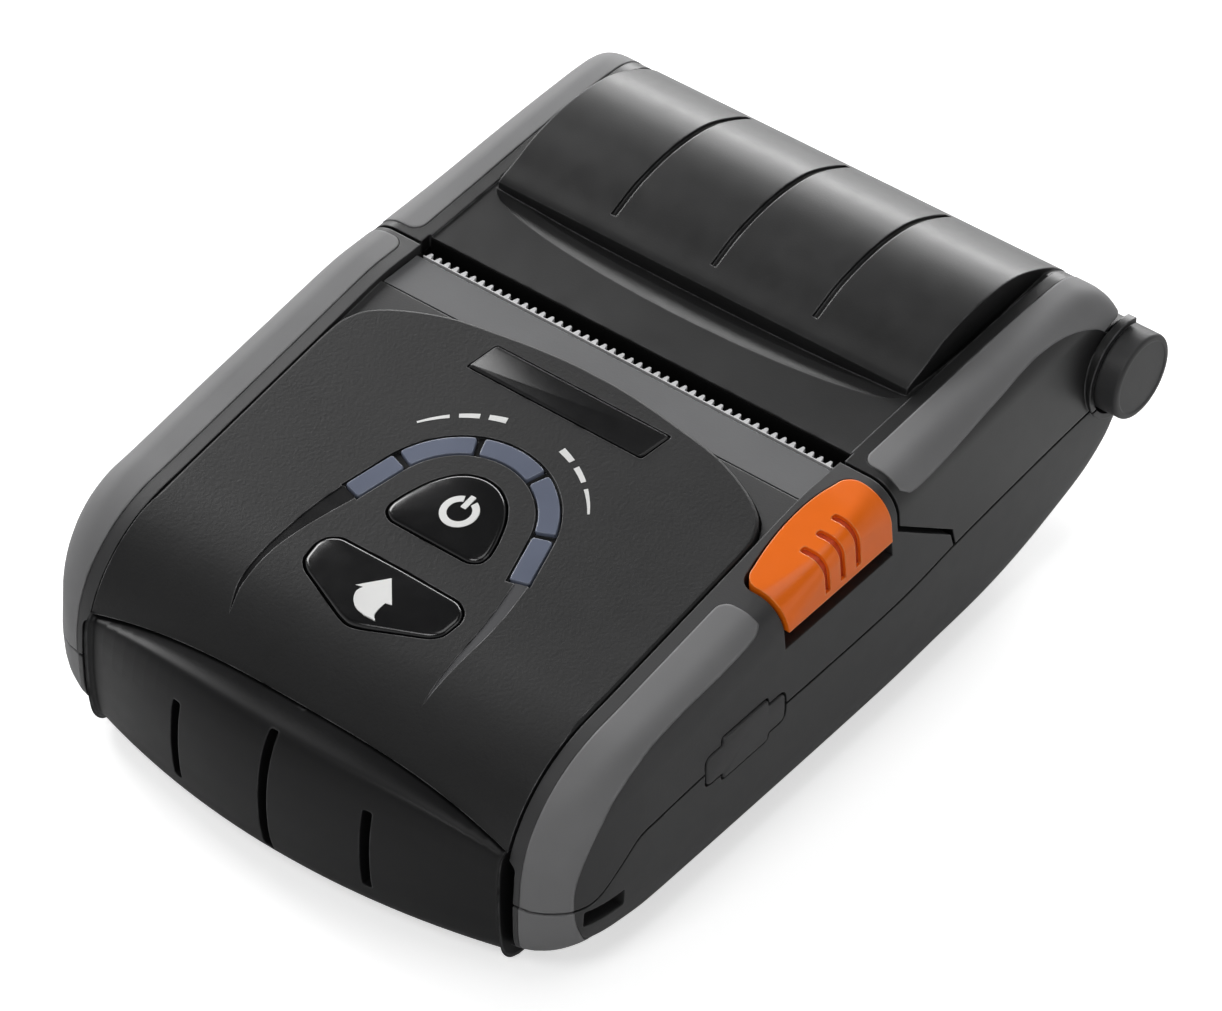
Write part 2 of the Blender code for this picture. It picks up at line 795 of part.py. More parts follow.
# The cap on the left lies flush with the case; the one on the right stands out.
cap_faces = {-1: hinge_side - cap_sink, 1: half_width + cap_reach}
cap_floors = {-1: cap_floor, 1: cap_reach}
holder_low = frame_half + frame_thickness + holder_gap
holder_high = holder_low + holder_thickness
first_plane = holder_high + gear_plane_gap
second_plane = first_plane + gear_width + gear_plane_gap
barrel_line = scaled(barrel_shares)
barrel_front_y = barrel_line[0][0]
barrel_rear_y = barrel_line[-1][0]
tray_front_y = lock_shaft_y + tray_to_lock
tray_rear_y = hinge_y - tray_to_hinge
tray_outer = (tray_rear_y - tray_front_y) / 2
tray_radius = tray_outer - tray_thickness
tray_centre_y = (tray_front_y + tray_rear_y) / 2
tray_floor = value_at(offset_line(bottom_line, -wall), tray_centre_y)
tray_centre = (tray_centre_y, tray_floor + tray_floor_gap + tray_outer)
tray_rim = platen_centre[1] - tray_drop
# The motor hangs its own drop below the roller, or sits as low as the frame's floor lets it.
motor_least_height = wall + post_least + frame_thickness + motor_floor_gap + motor_radius
motor_height = max(platen_centre[1] - motor_drop, motor_least_height)
frame_floor = motor_height - motor_radius - motor_floor_gap - frame_thickness
frame_floor_top = frame_floor + frame_thickness
head_low = motor_height + head_over_motor
frame_wall_low = head_low + frame_wall_lift
frame_low_top = frame_wall_low + frame_wall_height
lock_shaft_z = platen_centre[1] - lock_drop
lock_centre = (lock_shaft_y, lock_shaft_z)

# The panel's plane: a marker tilted like the slope, and depths measured square to it.
panel_marker_z = slope_first[1] + slope_rate * (panel_marker_y - slope_first[0]) + panel_rise / math.cos(tilt)
panel_marker = pivot("panel_plane", (0, panel_marker_y, panel_marker_z))
panel_marker.rotation_euler = (tilt, 0, 0)
badge_centre = (panel_top_y - panel_marker_y) / math.cos(tilt) - badge_to_top
board_rear = (frame_wall_y - panel_marker_y) / math.cos(tilt) - board_end_gap
mat_front = (slope_first[0] - mat_overhang - panel_marker_y) / math.cos(tilt)
board_depth = button_depth + mat_gap + mat_thickness + board_gap + board_thickness
chip_along = board_front + wall
buzzer_depth = board_depth + board_gap + buzzer_height
buzzer_low = panel_marker_z + chip_along * math.sin(tilt) - buzzer_depth * math.cos(tilt)
battery_top = buzzer_low - battery_head_room


def lay(piece, middle=0.0):
    """Hangs a piece drawn in the panel's plane on the tilted marker, with its origin at its own middle."""
    piece.data.transform(Matrix.Translation((0, -middle, 0)))
    piece.parent = panel_marker
    piece.location = (0, middle, 0)
    return piece


def rounded(points, radius, steps=3):
    """Rounds every corner of a closed outline."""
    result = []
    for index, corner in enumerate(points):
        here = Vector(corner)
        before = Vector(points[index - 1]) - here
        after = Vector(points[(index + 1) % len(points)]) - here
        reach = min(radius, before.length * corner_share, after.length * corner_share)
        start = here + before.normalized() * reach
        end = here + after.normalized() * reach
        for step in range(steps + 1):
            t = step / steps
            spot = start * (1 - t) ** 2 + here * 2 * t * (1 - t) + end * t ** 2
            result.append((spot.x, spot.y))
    return result


def mirrored(half):
    """Closes a right half outline, from the bottom centre to the top centre, with its mirror image."""
    return half + [(-x, y) for x, y in reversed(half[1:-1])]


def grown(points, distance):
    """Moves each point of a closed anticlockwise outline outwards."""
    moved = []
    count = len(points)
    for index in range(count):
        before = Vector(points[index - 1])
        here = Vector(points[index])
        after = Vector(points[(index + 1) % count])
        first = (here - before).normalized()
        second = (after - here).normalized()
        normal = Vector((first.y + second.y, -first.x - second.x))
        if normal.length < tiny:
            normal = Vector((first.y, -first.x)) * 2
        normal = normal / max(normal.length_squared / 2, tiny)
        moved.append((here.x + normal.x * distance, here.y + normal.y * distance))
    return moved


def spindle(name, centre, profile, finish=None, sides=small_round_sides):
    """A turned upright piece from (radius, z) steps, bottom to top."""
    rings = [[(x, y, z) for x, y in circle(centre, radius, sides)] for radius, z in profile]
    return loft(name, rings, finish)


def coil(name, centre, radius, low, finish):
    """A wire wound round an axis along X."""
    rings = []
    slope = spring_pitch / (2 * math.pi * radius)
    for step in range(spring_turns * spring_points + 1):
        angle = 2 * math.pi * step / spring_points
        out = Vector((0, math.cos(angle), math.sin(angle)))
        along = Vector((slope, -math.sin(angle), math.cos(angle))).normalized()
        side = along.cross(out)
        middle = Vector((low + spring_pitch * step / spring_points, centre[0], centre[1])) + out * radius
        rings.append([middle + out * a + side * b for a, b in circle((0, 0), spring_wire, spring_sides)])
    return loft(name, rings, finish)


def seam_arch(rise):
    """Front view of the seam over the nose, moved up by a rise."""
    middle = seam_middle_share * body_height
    end = seam_end_share * body_height
    points = []
    for step in range(nose_steps + 1):
        share = 2 * step / nose_steps - 1
        points.append((share * trough_half, middle + (end - middle) * abs(share) ** seam_power + rise))
    return points


def nose_room():
    """The space in the front of both case halves that the nose fills, open in front and below."""
    arch = seam_arch(nose_gap)
    outline = [(-trough_half, far_below)] + arch + [(trough_half, far_below)]
    return prism_y("nose_room", outline, far_front, pocket_back_y)


def arch_outline(gap):
    """Plan of the front panel, far past its front end."""
    half = [(share * panel_half + gap * (share > 0), panel_top_y + gap - down * arch_depth)
            for share, down in arch_shares]
    right = [(half[0][0], far_front)] + half
    return right + [(-x, y) for x, y in reversed(right[:-1])]


def panel_line(depth):
    """Side view of the panel's surface, or of a layer below it."""
    front = [point for point in rail_line if point[0] < slope_first[0] - wall]
    reach = panel_top_y + 2 * overrun
    straight = [slope_first, (reach, slope_first[1] + slope_rate * (reach - slope_first[0]))]
    return offset_line(front + straight, depth - panel_rise)


def lever_outline(gap):
    """Plan of the open lever, bowed towards the panel, and open past the case's side."""
    corner_x = lever_inner_x + lever_bow - gap
    front = lever_front_y - gap
    rear = lever_rear_y + gap
    points = [(far_out, front)]
    points += arc((corner_x + lever_corner, front + lever_corner), lever_corner, 270, 180, lever_corner_steps)
    for step in range(1, arc_steps):
        share = step / arc_steps
        bow = lever_bow * (1 - (2 * share - 1) ** 2)
        points.append((corner_x - bow, front + lever_corner + share * (rear - front - 2 * lever_corner)))
    points += arc((corner_x + lever_corner, rear - lever_corner), lever_corner, 180, 90, lever_corner_steps)
    return points + [(far_out, rear)]


def door_outline(gap):
    long = door_long / 2
    short = door_short / 2
    low = door_low_height / 2
    tall = door_tall_height / 2
    points = [(long, -low), (long, low), (short, low), (short, tall), (-short, tall), (-short, low),
              (-long, low), (-long, -low), (-short, -low), (-short, -tall), (short, -tall), (short, -low)]
    smooth = rounded(points, tall - low, 2)
    return [(door_y + a, door_z + b) for a, b in grown(smooth, gap)]


def grip_region(shares, grow, foot=False):
    """Side view of a grip strip: everything above and ahead of its lower edge, or for a foot all below."""
    line = offset_line(scaled(shares), grow)
    if foot:
        return [(far_front, line[0][1])] + line + [(line[-1][0], far_below), (far_front, far_below)]
    first, last = line[0], line[-1]
    if last[0] < first[0]:
        return line + [(far_front, last[1]), (far_front, far_above), (first[0], far_above)]
    return line + [(far_rear, last[1]), (far_rear, far_above), (first[0], far_above)]


def skin(name, region, sign, inner_x, depth, outset, finish=None):
    """A strip of the body's own surface: trimmed to a side view region outside an inner plane."""
    strip = shell(name, finish, outset)
    low, high = sorted((sign * inner_x, sign * far_out))
    keep(strip, prism_x(name + "_region", region, low, high))
    core = body_form(name + "_core", body_front + depth, body_rear - depth, depth, depth, depth)
    return cut(strip, core)


def gear_outline(centre, teeth, phase):
    """Side view of a spur gear with one tooth centred on the phase angle, in degrees."""
    pitch_radius = gear_module * teeth / 2
    tip_radius = pitch_radius + addendum_share * gear_module
    root_radius = pitch_radius - dedendum_share * gear_module
    pitch = 360 / teeth
    points = []
    for tooth in range(teeth):
        middle = phase + tooth * pitch
        for radius, width in ((root_radius, -root_width_share), (tip_radius, -tip_width_share),
                              (tip_radius, tip_width_share), (root_radius, root_width_share)):
            angle = math.radians(middle + width * pitch / 2)
            points.append((centre[0] + radius * math.cos(angle), centre[1] + radius * math.sin(angle)))
    return points


def along_bearing(centre, distance, degrees):
    angle = math.radians(degrees)
    return (centre[0] + distance * math.cos(angle), centre[1] + distance * math.sin(angle))


reduction_distance = gear_module * (platen_teeth + small_teeth) / 2
reduction_centre = along_bearing(platen_centre, reduction_distance, reduction_bearing_degrees)
motor_distance = gear_module * (large_teeth + pinion_teeth) / 2
motor_bearing_degrees = 180 + math.degrees(math.asin((reduction_centre[1] - motor_height) / motor_distance))
motor_centre = along_bearing(reduction_centre, motor_distance, motor_bearing_degrees)


# Lower case

def add_collar(case):
    """Raises a lip round the hinge cap that stands out of the case's right side."""
    collar = rod_x("hinge_collar", hinge_centre, cap_radius + collar_gap + collar_thickness,
                   hinge_side - wall / 3, hinge_side + collar_proud)
    rear = box("collar_end", (-far_out, body_rear - wall / 3, far_below), (far_out, far_rear, far_above))
    cut(collar, rear)
    fuse(case, collar)


def case_bosses(prefix, low, high, radius):
    bosses = []
    for sign in (-1, 1):
        bosses.append(rod_z(prefix + "_front", (sign * front_screw_x, front_screw_y), radius, low, high))
        bosses.append(rod_z(prefix + "_rear", (sign * rear_screw_x, rear_screw_y), radius, low, high))
    return bosses


def build_lower_case():
    case = shell("lower_case", "case")
    add_collar(case)
    keep(case, prism_x("lower_limit", lower_region(), -far_out, far_out))
    cut(case, body_form("mechanism_room", room_front_y, body_rear - wall, wall, wall, wall))
    for sign in (-1, 1):
        cut(case, side_chamber("side_room", sign, pocket_back_y, bay_rear_y, bay_half + bay_wall))
    fuse(case, *case_bosses("case_boss", screw_recess - wall, boss_split, boss_radius))
    for sign in (-1, 1):
        post = rod_z("frame_post", (sign * frame_post_x, frame_post_y), post_radius, wall / 2,
                     frame_floor - fit_gap)
        tower = rod_x("hinge_tower", hinge_centre, cap_radius, *sorted((sign * tower_low, sign * cap_back)))
        foot = [(y, z) for y, z in offset_line(bottom_line, -wall / 2) if y > hinge_y - cap_radius]
        foot_top = hinge_height - cap_radius + wall / 2
        foot = [(y, z) for y, z in foot if z < foot_top]
        base = prism_x("tower_base", foot + [(foot[-1][0], foot_top), (foot[0][0], foot_top)],
                       *sorted((sign * tower_low, sign * (hinge_side - wall / 2))))
        fuse(case, post, base, tower)
    rib_high = door_z - socket_height / 2 - fit_gap - port_board_thickness - fit_gap
    for end in (-1, 1):
        middle = door_y + end * (port_board_length / 2 - bay_wall)
        fuse(case, box("port_rib", (bay_half + bay_wall / 2, middle - bay_wall / 2, belly_radius + wall / 3),
                       (half_width - wall / 2, middle + bay_wall / 2, rib_high)))
    cut(case, nose_room())
    cut(case, box("battery_bay", (-bay_half, far_front, battery_bottom - bay_gap),
                  (bay_half, bay_rear_y, battery_top + overrun)))
    cut(case, box("contact_window", (-contact_half - fit_gap, bay_rear_y - overrun, contact_low - fit_gap),
                  (contact_half + fit_gap, room_front_y + overrun, contact_high + fit_gap)))
    cut(case, *case_bosses("boss_room", boss_split - seam_gap, body_height, boss_radius + seam_gap))
    cut(case, *case_bosses("screw_hole", far_below, boss_split + overrun, screw_radius + screw_gap))
    cut(case, *case_bosses("screw_recess", far_below, screw_recess, screw_head_radius + screw_gap))
    for sign in (-1, 1):
        cut(case, rod_z("post_hole", (sign * frame_post_x, frame_post_y), screw_radius + screw_gap / 2,
                        frame_floor - frame_screw_bite - frame_screw_gap, frame_floor + overrun))
        cut(case, rod_x("cap_clearance", hinge_centre, cap_radius + collar_gap,
                        *sorted((sign * tower_face, sign * far_out))))
        cut(case, rod_x("tower_bore", hinge_centre, hinge_pin_radius + hinge_pin_gap,
                        *sorted((sign * (tower_low - overrun), sign * (tower_face + overrun)))))
        strap = [(strap_y + a * strap_length / 2, strap_z + b * strap_height / 2)
                 for a, b in ((-1, -1), (1, -1), (1, 1), (-1, 1))]
        strap_inner = value_at(plan_line, strap_y) - 2 * wall
        cut(case, prism_x("strap_slot", strap, *sorted((sign * strap_inner, sign * far_out))))
    room_half = knuckle_half + tower_gap / 2
    cut(case, rod_x("knuckle_room", hinge_centre, knuckle_radius + hinge_clearance, -room_half, room_half))
    cut(case, prism_x("door_recess", door_outline(door_gap), half_width - door_thickness - door_gap, far_out))
    window_half = socket_width / 2 + door_gap
    window_low = door_z - socket_height / 2 - door_gap
    cut(case, box("socket_window", (half_width - 2 * wall, door_y - window_half, window_low),
                  (far_out, door_y + window_half, door_z + overrun)))
    latch_room = latch_sink + latch_thickness + latch_gap
    for name, width, length, high in (("latch_recess", latch_width, latch_length, latch_room),
                                      ("bolt_slot", latch_bolt, latch_bolt, battery_bottom)):
        side = width / 2 + latch_gap
        reach = length / 2 + latch_gap
        cut(case, box(name, (-side, latch_y - reach, far_below),
                      (side + latch_travel, latch_y + reach, high)))
    for sign in (-1, 1):
        cut(case, skin("corner_seat", grip_region(corner_grip_shares, -grip_edge_gap, True), sign,
                       lower_grip_inner_x - grip_edge_gap, grip_depth + grip_seat_gap, fit_gap))
    return settle(shade(case))


def build_corner_grips():
    for side, sign in (("left", -1), ("right", 1)):
        grip = skin("corner_grip_" + side, grip_region(corner_grip_shares, 0, True), sign, lower_grip_inner_x,
                    grip_depth, grip_proud, "grip")
        keep(grip, prism_x("corner_grip_limit", lower_region(), -far_out, far_out))
        settle(shade(grip))


# Upper case

def build_upper_case():
    case = shell("upper_case", "case")
    keep(case, prism_x("upper_limit", upper_region(), -far_out, far_out))
    rim = lever_gap + pocket_wall
    housing = box("lever_housing", (lever_inner_x - rim, lever_front_y - rim, pocket_low - pocket_wall),
                  (far_out, lever_rear_y + rim, far_above))
    room = body_form("upper_room", body_front + deck_under, body_rear - wall, wall, deck_under, wall)
    cut(room, housing)
    cut(case, room)
    for sign in (-1, 1):
        for x, y in ((front_screw_x, front_screw_y), (rear_screw_x, rear_screw_y)):
            fuse(case, rod_z("upper_boss", (sign * x, y), boss_radius, boss_split, roof_at(y) - wall))
    cut(case, nose_room())
    trough = above(offset_line(rail_line, trough_drop))
    cut(case, prism_x("trough", trough, -trough_half, trough_half))
    pocket = prism_x("panel_pocket", above(panel_line(panel_thickness + fit_gap)), -half_width, half_width)
    cut(case, keep(pocket, prism_z("panel_pocket_plan", arch_outline(plate_side_gap), far_below, far_above)))
    cut(case, box("plate_pocket", (-trough_half, plate_front_y - plate_side_gap, plate_under - fit_gap),
                  (trough_half, far_rear, far_above)))
    head_front = platen_centre[0] - platen_radius - platen_touch_gap - head_strip_depth - head_depth
    cut(case, box("head_window", (-head_half - 2 * fit_gap, head_front - 3 * fit_gap, boss_split),
                  (head_half + 2 * fit_gap, far_rear, far_above)))
    pilot_high = boss_split + screw_bite + screw_gap
    cut(case, *case_bosses("pilot_hole", far_below, pilot_high, screw_radius + screw_gap / 2))
    cut(case, prism_z("lever_pocket", lever_outline(lever_gap), pocket_low, far_above))
    slot_middle = lock_shaft_y - crank_length
    slot_side = pusher_width / 2 + lever_gap
    cut(case, box("pusher_slot", (pusher_x - lever_gap, slot_middle - slot_side, boss_split),
                  (pusher_x + pusher_thickness + lever_gap, slot_middle + slot_side, far_above)))
    recess_low = half_width - door_thickness - door_gap
    cut(case, prism_x("upper_door_recess", door_outline(door_gap), recess_low, far_out))
    window_half = socket_width / 2 + door_gap
    cut(case, box("upper_socket_window", (half_width - 2 * wall, door_y - window_half, far_below),
                  (far_out, door_y + window_half, door_z + socket_height / 2 + door_gap)))
    for sign, shares in ((-1, left_grip_shares), (1, front_grip_shares)):
        cut(case, skin("rail_seat", grip_region(shares, -grip_edge_gap), sign, grip_inner_x - grip_edge_gap,
                       grip_depth + grip_seat_gap, fit_gap))
    for outline in (power_outline(button_gap), feed_outline(button_gap)):
        cut(case, lay(prism_z("deck_button_hole", outline, -2 * deck_under, 0)))
    guide_room = band_outline(-guide_end_degrees, guide_end_degrees, guide_margin + window_gap)
    cut(case, lay(prism_z("deck_band", guide_room, -2 * deck_under, 0)))
    return settle(shade(case))


def build_rail_grips():
    for side, sign, shares in (("left", -1, left_grip_shares), ("right", 1, front_grip_shares)):
        region = grip_region(shares, 0)
        grip = skin("rail_grip_" + side, region, sign, grip_inner_x, grip_depth, grip_proud, "grip")
        keep(grip, prism_x("rail_grip_limit", upper_region(), -far_out, far_out))
        settle(shade(grip))


# Front panel with its buttons, lights and name plate

def power_outline(gap):
    half = [(a * power_width / 2, power_bottom + b * power_height) for a, b in power_shares]
    return grown(mirrored(half), gap)


def feed_outline(gap):
    half = [(a * feed_width / 2, feed_bottom + b * feed_height) for a, b in feed_shares]
    return grown(mirrored(half), gap)


def band_outline(first, last, gap):
    """An arc of the status light band between two angles from straight up, in degrees."""
    steps = max(int((last - first) / arc_step_degrees), 3)
    slack = math.degrees(gap / band_outer)
    outer = arc((0, band_centre), band_outer + gap, 90 - first + slack, 90 - last - slack, steps)
    inner = arc((0, band_centre), band_inner - gap, 90 - last - slack, 90 - first + slack, steps)
    return list(reversed(outer + inner))


def tail_outline(sign):
    points = [(sign * (tail_out + a * tail_width), tail_top - b * tail_length) for a, b in tail_shares]
    return points if sign < 0 else list(reversed(points))


def rectangle(width, height, middle):
    return [(-width / 2, middle - height / 2), (width / 2, middle - height / 2),
            (width / 2, middle + height / 2), (-width / 2, middle + height / 2)]


def build_front_panel():
    outline = panel_line(0) + list(reversed(panel_line(panel_thickness)))
    panel = prism_x("front_panel", outline, -panel_half, panel_half, "panel")
    keep(panel, prism_z("panel_plan", arch_outline(0), far_below, far_above))
    seam = seam_arch(nose_gap / 2) + [(trough_half, far_above), (-trough_half, far_above)]
    keep(panel, prism_y("panel_seam", seam, far_front, far_rear))
    for first, last in window_degree_spans:
        slot = band_outline(first, last, 0)
        cut(panel, lay(prism_z("window_slot", slot, -2 * panel_thickness, panel_thickness)))
    for outline in (power_outline(button_gap), feed_outline(button_gap)):
        cut(panel, lay(prism_z("panel_button_hole", outline, -2 * panel_thickness, panel_thickness)))
    for sign in (-1, 1):
        cut(panel, lay(prism_z("tail_groove", tail_outline(sign), -tail_depth, panel_thickness)))
    badge_floor = badge_thickness - badge_proud + fit_gap / 2
    badge = grown(rectangle(badge_width, badge_height, badge_centre), window_gap)
    cut(panel, lay(prism_z("badge_recess", badge, -badge_floor, panel_thickness)))
    return settle(shade(panel))


def build_panel_pieces():
    corners = rectangle(badge_width, badge_height, badge_centre)
    badge_low = badge_proud - badge_thickness
    badge = prism_z("name_plate", rounded(corners, badge_thickness), badge_low, badge_proud, "black")
    lay(badge, badge_centre)
    guide_top = -panel_thickness - fit_gap
    guide = prism_z("light_guide", band_outline(-guide_end_degrees, guide_end_degrees, guide_margin),
                    guide_top - guide_thickness, guide_top, "window")
    for first, last in window_degree_spans:
        block = band_outline(first, last, -window_gap)
        fuse(guide, lay(prism_z("window_block", block, guide_top - guide_thickness / 2, 0)))
    lay(guide, band_centre)
    for name, outline, bottom, height in (("power_button", power_outline(0), power_bottom, power_height),
                                          ("feed_button", feed_outline(0), feed_bottom, feed_height)):
        rings = [(outline, -button_depth), (outline, button_proud - button_edge),
                 (grown(outline, -button_edge / 3), button_proud - button_edge / 3),
                 (grown(outline, -button_edge), button_proud)]
        button = loft(name, [[(x, y, z) for x, y in ring] for ring, z in rings], "gloss")
        lay(button, bottom + height / 2)
    mat_top = -button_depth - mat_gap
    mat = box("key_mat", (-mat_half, mat_front, mat_top - mat_thickness), (mat_half, mat_rear, mat_top),
              "rubber")
    lay(mat, (mat_front + mat_rear) / 2)
    board_under = -board_depth
    board_top = board_under + board_thickness
    board = box("main_board", (-board_half, board_front, board_under), (board_half, board_rear, board_top),
                "board")
    lay(board, (board_front + board_rear) / 2)
    chip_top = board_under - board_gap
    chip_x = board_half / 2
    chip = box("radio_module", (chip_x - chip_width / 2, chip_along, chip_top - chip_height),
               (chip_x + chip_width / 2, chip_along + chip_length, chip_top), "zinc")
    lay(chip, chip_along + chip_length / 2)
    buzzer_along = chip_along + buzzer_radius
    buzzer = rod_z("buzzer", (-chip_x, buzzer_along), buzzer_radius, chip_top - buzzer_height, chip_top,
                   "black")
    lay(shade(buzzer), buzzer_along)


# Cover plate and tear bar

def build_plate_and_tear_bar():
    outline = [(-trough_half + plate_side_gap, plate_front_y), (trough_half - plate_side_gap, plate_front_y),
               (trough_half - plate_side_gap, plate_rear_y), (-trough_half + plate_side_gap, plate_rear_y)]
    plate = prism_z("head_cover", outline, plate_under, plate_top, "plate")
    cut(plate, prism_z("plate_arch", arch_outline(2 * plate_side_gap), far_below, far_above))
    settle(plate)
    front = plate_rear_y + fit_gap
    count = int(2 * tear_half / tooth_pitch)
    pitch = 2 * tear_half / count
    edge = [(-tear_half, front), (tear_half, front)]
    for tooth in range(count):
        right = tear_half - tooth * pitch
        edge += [(right, tear_tip_y - tooth_depth), (right - pitch / 2, tear_tip_y)]
    edge.append((-tear_half, tear_tip_y - tooth_depth))
    bar = prism_z("tear_bar", edge, plate_top - tear_thickness, plate_top, "steel")
    fuse(bar, box("tear_leg", (-tear_half, front, plate_under),
                  (tear_half, front + tear_leg_thickness, plate_top - tear_thickness / 2)))
    settle(bar)


# Battery pack

def nose_ring(x):
    """Side view of the nose at a place across it: the middle outline blended into the end one."""
    back = (x / nose_half) ** 2
    down = abs(x / nose_half) ** seam_power
    points = []
    for (middle_y, middle_z), (end_y, end_z) in zip(scaled(nose_middle_shares), scaled(nose_end_shares)):
        points.append((middle_y + (end_y - middle_y) * back, middle_z + (end_z - middle_z) * down))
    last = points[-1]
    return points + [(nose_back_y, last[1] / 2), (nose_back_y, points[0][1])]


def build_battery():
    places = [nose_half * (2 * step / nose_steps - 1) for step in range(nose_steps + 1)]
    pack = loft("battery_pack", [[(x, y, z) for y, z in nose_ring(x)] for x in places], "black")
    fuse(pack, box("battery_block", (-battery_half, nose_back_y - nose_gap, battery_bottom),
                   (battery_half, battery_rear_y, battery_top)))
    for x, ends in ((-nose_groove_pitch, groove_end_shares), (0, middle_groove_end_shares),
                    (nose_groove_pitch, groove_end_shares)):
        bottom, top = [share * body_height for share in ends]
        ring = nose_ring(x)[:-2]
        band = offset_line(ring, nose_groove_depth) + list(reversed(offset_line(ring, -overrun / 2)))
        groove = prism_x("nose_groove", band, x - nose_groove_width / 2, x + nose_groove_width / 2)
        keep(groove, box("nose_groove_span", (x - nose_groove_pitch, far_front, bottom),
                         (x + nose_groove_pitch, nose_back_y, top)))
        cut(pack, groove)
    slack = latch_bolt / 2 + latch_gap
    high = battery_bottom + latch_bolt_rise + latch_gap
    low = (-slack, latch_y - slack, far_below)
    cut(pack, box("bolt_channel", low, (slack, battery_rear_y + overrun, high)))
    cut(pack, box("bolt_notch", low, (slack + latch_travel, latch_y + slack, high)))
    marker = pivot("battery_runner", (0, nose_back_y, (battery_bottom + battery_top) / 2))
    carry(marker, shade(pack))
    latch = box("battery_latch", (-latch_width / 2, latch_y - latch_length / 2, latch_sink),
                (latch_width / 2, latch_y + latch_length / 2, latch_sink + latch_thickness), "black")
    bolt = latch_bolt / 2
    fuse(latch, box("latch_bolt", (-bolt, latch_y - bolt, latch_sink + latch_thickness / 2),
                    (bolt, latch_y + bolt, battery_bottom + latch_bolt_rise)))
    carry(pivot("latch_runner", (0, latch_y, latch_sink)), latch)
    contacts = box("battery_contacts", (-contact_half, battery_rear_y + fit_gap, contact_low),
                   (contact_half, battery_rear_y + fit_gap + contact_depth, contact_high), "brass")
    settle(contacts)


# Open lever

def build_lever():
    lever = shell("open_lever", "orange", lever_proud)
    keep(lever, prism_z("lever_plan", lever_outline(0), lever_low, far_above))
    for rib in range(rib_count):
        middle = lever_front_y + rib_first_back + rib * rib_pitch
        groove = swollen_form("lever_groove", lever_proud + fit_gap)
        keep(groove, box("groove_span", (rib_inner_x, middle - rib_width / 2, far_below),
                         (far_out, middle + rib_width / 2, far_above)))
        cut(groove, swollen_form("groove_core", lever_proud - rib_depth))
        cut(lever, groove)
    pusher_y = lock_shaft_y - crank_length
    pusher_low = lock_shaft_z + crank_width / 2 + pusher_gap
    fuse(lever, box("lever_pusher", (pusher_x, pusher_y - pusher_width / 2, pusher_low),
                    (pusher_x + pusher_thickness, pusher_y + pusher_width / 2, lever_low + wall)))
    carry(pivot("lever_runner", (pusher_x, pusher_y, lever_low)), shade(lever))


# Mechanism frame, head, motor and lock

def build_frame():
    top = roof_at(platen_centre[0]) - deck_under - frame_top_gap
    foot_rear = frame_step_y + 3 * lock_shaft_radius
    outline = [(frame_front_y, frame_floor), (foot_rear, frame_floor),
               (foot_rear, tray_rim + frame_thickness), (frame_rear_y, tray_rim + 2 * frame_thickness),
               (frame_rear_y, top), (frame_step_y, top), (frame_step_y, frame_low_top),
               (frame_front_y, frame_low_top)]
    middle = frame_half + frame_thickness / 2
    outer = frame_half + frame_thickness
    frame = box("print_frame", (-middle, frame_front_y, frame_floor), (middle, foot_rear, frame_floor_top),
                "zinc")
    for sign in (-1, 1):
        fuse(frame, prism_x("frame_side", outline, *sorted((sign * frame_half, sign * outer))))
    fuse(frame, box("frame_wall", (-middle, frame_wall_y, frame_wall_low),
                    (middle, frame_wall_y + frame_thickness, frame_low_top)))
    slot_half = bush_radius + fit_gap
    span = frame_half + 2 * frame_thickness
    slot = rod_x("bush_slot", platen_centre, slot_half, -span, span)
    slot_top = box("bush_slot_top", (-span, platen_centre[0] - slot_half, platen_centre[1]),
                   (span, platen_centre[0] + slot_half, far_above))
    cut(frame, slot, slot_top)
    for name, centre, radius, high in (("lock_bearing", lock_centre, lock_shaft_radius + fit_gap, span),
                                       ("axle_hole", reduction_centre, axle_radius + sleeve_gap, 0),
                                       ("motor_shaft_hole", motor_centre, 2 * motor_shaft_radius, 0)):
        cut(frame, rod_x(name, centre, radius, -span, high, sides=small_round_sides))
    for sign in (-1, 1):
        place = (sign * frame_post_x, frame_post_y)
        cut(frame, rod_z("frame_screw_hole", place, screw_radius + screw_gap, far_below,
                         frame_floor_top + wall))
    settle(frame)
    for side, sign in (("left", -1), ("right", 1)):
        collar_low = frame_floor_top + fit_gap
        profile = [(screw_radius, frame_floor - frame_screw_bite), (screw_radius, collar_low),
                   (screw_head_radius, collar_low), (screw_head_radius, collar_low + screw_head_height)]
        settle(shade(spindle("frame_screw_" + side, (sign * frame_post_x, frame_post_y), profile, "steel")))


